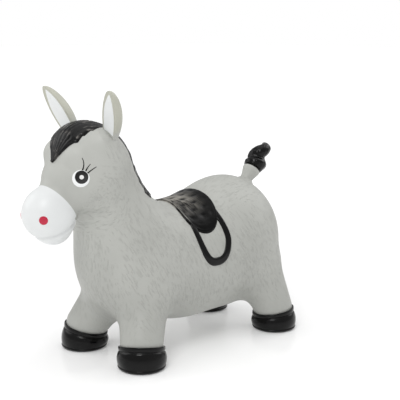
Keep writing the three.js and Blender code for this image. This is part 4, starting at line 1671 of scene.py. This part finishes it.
@dataclass
class Saddlery:
    """The saddle and its stirrups, moulded on the barrel."""

    axis_height: float = 163.0
    thickness: float = 3.0
    middle_ahead: float = 17.5
    half_length: float = 52.5
    front_dip: float = 19.0
    half_angle: float = 55.0
    squareness: float = 2.5
    rise: float = 3.0
    edge_power: int = 22
    rim_at: float = 0.95
    rim_width: float = 0.022
    rim_rise: float = 0.9
    parting_at: float = 0.9
    parting_width: float = 0.014
    parting_sink: float = 1.4
    parting_high: Span = (32.0, 47.0)
    parting_front: Span = (0.6, 0.8)
    dimple_pitch: float = 29.0
    row_pitch: float = 17.0
    dimple_radius: float = 4.3
    dimple_sink: float = 1.5
    dimple_high: Span = (34.0, 48.0)
    dimple_edge: Span = (0.8, 0.88)
    rubbed_high: Span = (12.0, 37.0)
    rubbed_front: Span = (-0.9, 0.2)
    stirrup_rise: float = 2.4
    stirrup_half_length: float = 38.0
    stirrup_top: float = 40.0
    stirrup_bottom: float = 84.0
    stirrup_ahead: float = 8.0
    tuck_ahead: float = 10.0
    tuck_up: float = 7.0
    strap: float = 12.5
    tread: float = 17.0
    strap_power: int = 5
    stirrup_squareness: float = 0.7
    marks: dict[str, Points] = field(default_factory=dict)

    @property
    def arc(self) -> float:
        """Millimetres round the barrel for one degree."""
        return math.radians(1.0) * SKIN.belly.radii[0]

    def on_barrel(self, ahead: Points, degrees: Points, level: Points) -> Points:
        """Finds places on the barrel.

        Args:
            ahead: Millimetres ahead of the belly's middle.
            degrees: Angles round the barrel from straight up, to the left.
            level: Heights above the skin in millimetres.

        Returns:
            The places, in metres.
        """
        turn = np.radians(degrees)
        rays = np.c_[np.sin(turn), np.zeros(len(turn)), np.cos(turn)]
        origins = np.c_[np.zeros(len(turn)), BELLY_MIDDLE - ahead * MM, np.zeros(len(turn))]
        origins[:, 2] = self.axis_height * MM
        return SKIN.raised(origins, rays, level * MM)

    def dimples(self, ahead: Points, degrees: Points) -> Points:
        """Lays staggered rows of long dimples.

        Args:
            ahead: Millimetres ahead of the belly's middle.
            degrees: Angles round the barrel from straight up.

        Returns:
            1 in the middle of a dimple, falling to 0 beside it.
        """
        row = np.round(degrees * self.arc / self.row_pitch)
        stagger = self.dimple_pitch * (0.5 * (row % 2) + 0.1 * row)
        near = (ahead - stagger) / self.dimple_pitch
        along = (near - np.round(near)) * self.dimple_pitch
        aside = degrees * self.arc - row * self.row_pitch
        return hump(np.hypot(along / 2.0, aside), self.dimple_radius)

    def saddle_lay(self, u: Points, v: Points) -> Points:
        """Finds the places of the saddle's points and keeps its marks.

        Args:
            u: Places round the barrel, from -1 to 1.
            v: Places towards the head.

        Returns:
            The places, in metres.
        """
        x, y = round_off(u, v)
        share, turn = np.hypot(x, y), np.arctan2(y, x)
        sin, cos = np.sin(turn), np.cos(turn)
        power = np.abs(cos) ** (2.0 / self.squareness) * np.sign(cos)
        degrees = share * self.half_angle * power
        down = np.abs(degrees)
        ahead = self.middle_ahead + share * self.half_length * sin
        crest = (1.0 - (degrees / self.half_angle) ** 2) ** 3
        ahead = ahead - self.front_dip * share * np.maximum(sin, 0.0) * crest
        shown = 1.0 - smooth_step(down, *self.dimple_high)
        shown = shown * (1.0 - smooth_step(share, *self.dimple_edge))
        dimple = self.dimples(ahead, degrees) * shown
        rim = hump(share - self.rim_at, self.rim_width)
        parting = hump(share - self.parting_at, self.parting_width)
        parting = parting * smooth_step(sin, *self.parting_front)
        parting = parting * (1.0 - smooth_step(down, *self.parting_high))
        front = sin * share - 0.45 * down / self.half_angle
        rubbed = 1.0 - smooth_step(down, *self.rubbed_high)
        self.marks = {
            "dimple": np.clip(dimple * 1.2, 0.0, 1.0),
            "worn": smooth_step(front, *self.rubbed_front) * rubbed * (1.0 - rim),
            "bare": parting,
        }
        level = self.rise * edge_fall(share, self.edge_power) + self.rim_rise * rim
        level = level - self.dimple_sink * dimple - self.parting_sink * parting
        return self.on_barrel(ahead, degrees, level)

    def loop(self, t: Points) -> tuple[Points, Points]:
        """Draws the middle line of the left stirrup.

        Args:
            t: Shares of its length, from the front.

        Returns:
            Millimetres ahead of the belly's middle, and degrees round the barrel.
        """
        turn = np.pi * (t - 0.5)
        reach = np.sign(turn) * np.abs(np.sin(turn)) ** self.stirrup_squareness
        drop = (self.stirrup_bottom - self.stirrup_top) * np.cos(turn)
        tuck = smooth_step(t, 0.8, 1.0)
        ahead = self.stirrup_ahead - self.stirrup_half_length * reach + self.tuck_ahead * tuck
        return ahead, self.stirrup_top + drop - self.tuck_up * tuck

    def stirrup_lay(self, u: Points, v: Points) -> Points:
        """Finds the places of the left stirrup's points.

        Args:
            u: Places along its loop, from -1 to 1.
            v: Places across its strap.

        Returns:
            The places, in metres.
        """
        t, step = (u + 1.0) / 2.0, 0.01
        ahead, degrees = self.loop(t)
        before, after = self.loop(t - step), self.loop(t + step)
        run = np.c_[after[0] - before[0], (after[1] - before[1]) * self.arc]
        run = unit(run)
        width = self.strap + (self.tread - self.strap) * np.sin(np.pi * t) ** 2
        off = v * width / 2.0
        level = self.stirrup_rise * edge_fall(v, self.strap_power)
        return self.on_barrel(ahead + off * run[:, 1], degrees - off * run[:, 0] / self.arc, level)

    def build(self, brushed: Material, gloss: Material) -> None:
        """Makes and dresses the saddle and both stirrups.

        Args:
            brushed: The saddle's material.
            gloss: The stirrups' material.
        """
        saddle = drape("quilted_saddle", 150, 110, self.saddle_lay, self.thickness)
        for name, values in self.marks.items():
            Bench.note(saddle, name, np.resize(values, len(saddle.data.vertices)))
        Bench.fit(saddle, brushed, Slot.SADDLE, BODY, "saddle")
        stirrup = drape("left_stirrup", 120, 14, self.stirrup_lay, self.thickness)
        Bench.fit_pair(stirrup, gloss, Slot.BLACK, "stirrup")


@dataclass
class Face:
    """Eyes with lashes, and nostrils."""

    eye: Place = (0, 291, 360)
    eye_radius: float = 15.5
    eye_rise: float = 1.6
    nostril: Place = (31.5, 321, 293)
    nostril_radius: float = 7.8
    nostril_rise: float = 0.9
    nostril_lift: float = 1.1
    button_thickness: float = 2.0
    lashes: tuple[tuple[Place, ...], ...] = (
        ((54, 290, 373), (57, 288, 385), (55, 290, 396)),
        ((58, 285, 373), (60, 282, 379), (63, 278, 385)),
        ((60, 283, 369), (64, 276, 375), (68, 269, 380)),
    )
    lash_width: float = 2.9
    lash_taper: float = 0.6
    lash_rise: float = 0.4
    lash_sink: float = 0.05
    lash_thickness: float = 0.8

    def button(
        self, name: str, origin: Place, ray: Place, radius: float, rise: float, lift: float = 0.0
    ) -> Piece:
        """Lays a low round dome on the left of the head.

        Args:
            name: The piece's name.
            origin: A place inside the head.
            ray: The direction in which the dome lies from there, in the frame.
            radius: Its radius in millimetres.
            rise: Its height in millimetres.
            lift: How far the skin swells out there.

        Returns:
            The dome, with its disc's shares stored on its points.
        """
        middle = SKIN.raised(spot(origin)[None], np.array([ray], float), 0.0)
        out = Vector(SKIN.outward(middle)[0])
        across = Vector((0, 0, 1)).cross(out).normalized()
        up = out.cross(across)

        def lay(u: Points, v: Points) -> Points:
            """Finds the places of the dome's points.

            Args:
                u: Places along the square that becomes the disc, from -1 to 1.
                v: Places up it.

            Returns:
                The places, in metres.
            """
            x, y = round_off(u, v)
            share = np.hypot(x, y)
            flat = middle + np.outer(x * radius * MM, across) + np.outer(y * radius * MM, up)
            origins = flat - np.array(out) * radius * MM
            rays = np.tile(np.array(out), (len(x), 1))
            level = lift + rise * (1.0 - 0.45 * share**2 - 0.9 * share**14)
            return SKIN.raised(origins, rays, level * MM)

        piece = drape(name, 56, 56, lay, self.button_thickness)
        square = piece.data.attributes["flat"]
        x, y = round_off(*Bench.rows(square.data, "vector").T[:2])
        piece.data.attributes.remove(square)
        Bench.note(piece, "flat", np.c_[x, y, np.zeros(len(x))])
        return piece

    def lash(self, index: int, path: Sequence[Place]) -> Piece:
        """Lays one tapering painted lash on the left of the head.

        Args:
            index: Its number.
            path: Its root, middle and tip.

        Returns:
            The lash.
        """
        root, middle, tip = (spot(place) for place in path)
        pull = 2 * middle - (root + tip) / 2

        def lay(u: Points, v: Points) -> Points:
            """Finds the places of the lash's points.

            Args:
                u: Places along it, from -1 to 1.
                v: Places across it.

            Returns:
                The places, in metres.
            """
            t = ((u + 1.0) / 2.0)[:, None]
            line = (1 - t) ** 2 * root + 2 * t * (1 - t) * pull + t**2 * tip
            run = 2 * (1 - t) * (pull - root) + 2 * t * (tip - pull)
            line = SKIN.settled(line)
            aside = unit(np.cross(SKIN.outward(line), run))
            width = self.lash_width * (1.0 - self.lash_taper * t) * MM / 2.0
            level = self.lash_rise * (1.0 - v**2) - self.lash_sink
            return SKIN.settled(line + aside * v[:, None] * width, level * MM)

        return drape(f"left_lash_{index}", 28, 6, lay, self.lash_thickness)

    def build(self, eye: Material, red: Material, black: Material) -> None:
        """Makes and dresses the face's pieces.

        Args:
            eye: The eyes' material.
            red: The nostrils' material.
            black: The lashes' material.
        """
        left_eye = self.button("left_eye", self.eye, (1, 0, 0), self.eye_radius, self.eye_rise)
        Bench.fit_pair(left_eye, eye, Slot.WHITE, "eye")
        nostril = self.button(
            "left_nostril", self.nostril, (0, -1, 0), self.nostril_radius, self.nostril_rise,
            self.nostril_lift,
        )
        Bench.fit_pair(nostril, red, Slot.RED, "nostril")
        for index, path in enumerate(self.lashes):
            Bench.fit_pair(self.lash(index, path), black, Slot.BLACK)


@dataclass
class Valve:
    """The air valve under the belly: a grommet and its plug."""

    bore: float = 5.0
    neck: float = 9.0
    flange: float = 14.0
    lip: float = 1.8
    head: float = 10.0
    head_height: float = 2.6
    stem_play: float = 0.3
    steps: int = 64

    def seat_profile(self, low: float, high: float) -> list[Corner]:
        """The grommet's section between its lowest and highest levels, in millimetres."""
        bore, neck, flange, lip = self.bore, self.neck, self.flange, self.lip
        return [
            (bore, low + 0.4), (bore + 0.4, low), (neck, low), (neck + 0.5, low),
            (flange - 1.0, low + 0.2), (flange - 0.2, low + 0.8), (flange, low + 1.3),
            (flange - 0.3, low + lip), (neck, low + lip), (neck, high - lip),
            (flange - 1.0, high - lip), (flange - 1.2, high - 1.2), (neck, high), (bore, high),
        ]

    def plug_profile(self, low: float, high: float) -> list[Corner]:
        """The plug's section between its lowest and highest levels, in millimetres."""
        head, stem, top = self.head, self.bore - self.stem_play, low + self.head_height
        return [
            (0, low + 0.6), (head * 0.55, low + 0.6), (head * 0.62, low + 0.1),
            (head - 1.2, low), (head - 0.4, low + 0.3), (head, low + 1.0), (head, top - 0.5),
            (head - 0.4, top), (stem + 0.4, top), (stem, top + 0.4), (stem, high - 3.0),
            (stem - 0.5, high - 1.6), (stem - 1.5, high), (0, high),
        ]

    def build(self, material: Material) -> None:
        """Makes and dresses the grommet and the plug.

        Args:
            material: Their material.
        """
        pieces = (
            ("air_valve", "valve_seat", self.seat_profile, BODY),
            ("air_stopper", "valve_plug", self.plug_profile, "air_plug"),
        )
        for name, node, profile, body in pieces:
            low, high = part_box(node)
            piece = Bench.turned(name, profile(low.z / MM, high.z / MM), self.steps)
            centre = middle_of(node)
            Bench.move(piece, Bench.points(piece) + [centre.x, centre.y, 0.0])
            Bench.fit(piece, material, Slot.VALVE, body, node)


# The room


def aim(thing: Piece, height: float) -> None:
    """Turns a light or the camera to a height over the belly's middle, in millimetres."""
    line = Vector(spot((0, 0, height))) - thing.location
    thing.rotation_euler = line.to_track_quat("-Z", "Y").to_euler()


@dataclass(frozen=True)
class Lamp:
    """A soft square light that faces the toy.

    Attributes:
        name: Its name.
        place: Millimetres left, ahead and up.
        size: Its side in metres.
        power: Its power in watts.
        aim_height: The height that it faces, in millimetres.
    """

    name: str
    place: Place
    size: float
    power: float
    aim_height: float = 200.0

    def hang(self) -> None:
        """Hangs the light."""
        bpy.ops.object.light_add(type="AREA", location=spot(self.place))
        lamp = bpy.context.object
        lamp.name = self.name
        lamp.data.size = self.size
        lamp.data.energy = self.power
        aim(lamp, self.aim_height)


@dataclass
class Studio:
    """A pale floor, soft lights and the camera."""

    azimuth: float = 46.0
    distance: float = 1850.0
    eye_height: float = 620.0
    look_height: float = 230.0
    lens: float = 85.5
    sensor: float = 36.0
    shift: tuple[float, float] = (0.045, 0.06)
    lamps: tuple[Lamp, ...] = (
        Lamp("key", (900, 1500, 1900), 0.8, 18.0),
        Lamp("fill", (-1500, 1100, 1300), 1.4, 8.0),
        Lamp("back", (300, -1700, 1500), 1.4, 11.0),
        Lamp("top", (0, 0, 2200), 2.0, 10.0),
    )
    floor_size: float = 40.0
    floor_tints: tuple[Tint, Tint] = (linear(247, 247, 247), linear(250, 250, 250))
    floor_clouds: float = 3.0
    floor_gloss: float = 0.12
    floor_specular: float = 0.3
    ambient: float = 0.55
    glow: float = 0.28
    far_glow: float = 0.55
    glow_span: Span = (0.45, 2.2)

    def floor(self) -> None:
        """Lays a pale floor."""
        floor = Bench.added("floor", bpy.ops.mesh.primitive_plane_add, size=self.floor_size)
        finish = Finish("pale_floor")
        colour = finish.mix(finish.specks(self.floor_clouds), *self.floor_tints)
        x, y, _ = finish.place().parts()
        far = (x * x + y * y).root().step(*self.glow_span)
        glow = finish.mix(far, (self.glow, self.glow, self.glow, 1), (1, 1, 1, 1))
        lit = {"Emission_Color": glow, "Emission_Strength": self.far_glow}
        material = finish.coat(colour, self.floor_gloss, None, 0.0, self.floor_specular, **lit)
        floor.data.materials.append(material)

    def camera(self) -> None:
        """Stands the camera where the photograph was taken from."""
        turn = math.radians(self.azimuth)
        place = (self.distance * math.sin(turn), self.distance * math.cos(turn), self.eye_height)
        bpy.ops.object.camera_add(location=spot(place))
        camera = bpy.context.object
        aim(camera, self.look_height)
        camera.data.lens = self.lens
        camera.data.sensor_width = self.sensor
        camera.data.shift_x, camera.data.shift_y = self.shift
        bpy.context.scene.camera = camera

    def air(self) -> None:
        """Fills the room with soft light from all round, seen as plain white."""
        world = bpy.data.worlds.new("soft_room")
        world.use_nodes = True
        nodes = Nodes(world.node_tree)
        seen = nodes.node("ShaderNodeLightPath", output="Is Camera Ray")
        levels = {"Value": seen, "To Min": self.ambient, "To Max": 1.0}
        strength = nodes.node("ShaderNodeMapRange", {}, levels)
        sockets = {"Color": (1, 1, 1, 1), "Strength": strength}
        light = nodes.node("ShaderNodeBackground", {}, sockets)
        nodes.node("ShaderNodeOutputWorld", {}, {"Surface": light})
        bpy.context.scene.world = world

    def build(self) -> None:
        """Makes the room."""
        self.floor()
        for lamp in self.lamps:
            lamp.hang()
        self.camera()
        self.air()
        bpy.context.scene.view_settings.view_transform = "Standard"


def keep_sizes() -> None:
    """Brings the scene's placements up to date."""
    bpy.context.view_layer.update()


def main() -> None:
    """Builds the toy's pieces in order, then the room."""
    logging.basicConfig(level=logging.INFO, format="%(message)s")
    face = Face()
    skin = SkinFinish().material()
    gloss = BlackFinish("black_gloss_paint").material()
    hair = HairFinish().material()
    Skin().build(skin)
    Hooves().build(gloss)
    Ears().build(EarFinish().material())
    Tail().build(skin, hair)
    Hair().build(hair)
    Saddlery().build(SaddleFinish().material(), gloss)
    red = PlainFinish("red_paint", linear(188, 20, 58), linear(176, 16, 50), 0.32).material()
    face.build(EyeFinish(face.eye_radius).material(), red, gloss)
    white = PlainFinish("valve_pvc", linear(224, 225, 221), linear(214, 215, 210), 0.4).material()
    Valve().build(white)
    Studio().build()
    keep_sizes()


if __name__ == "__main__":
    main()
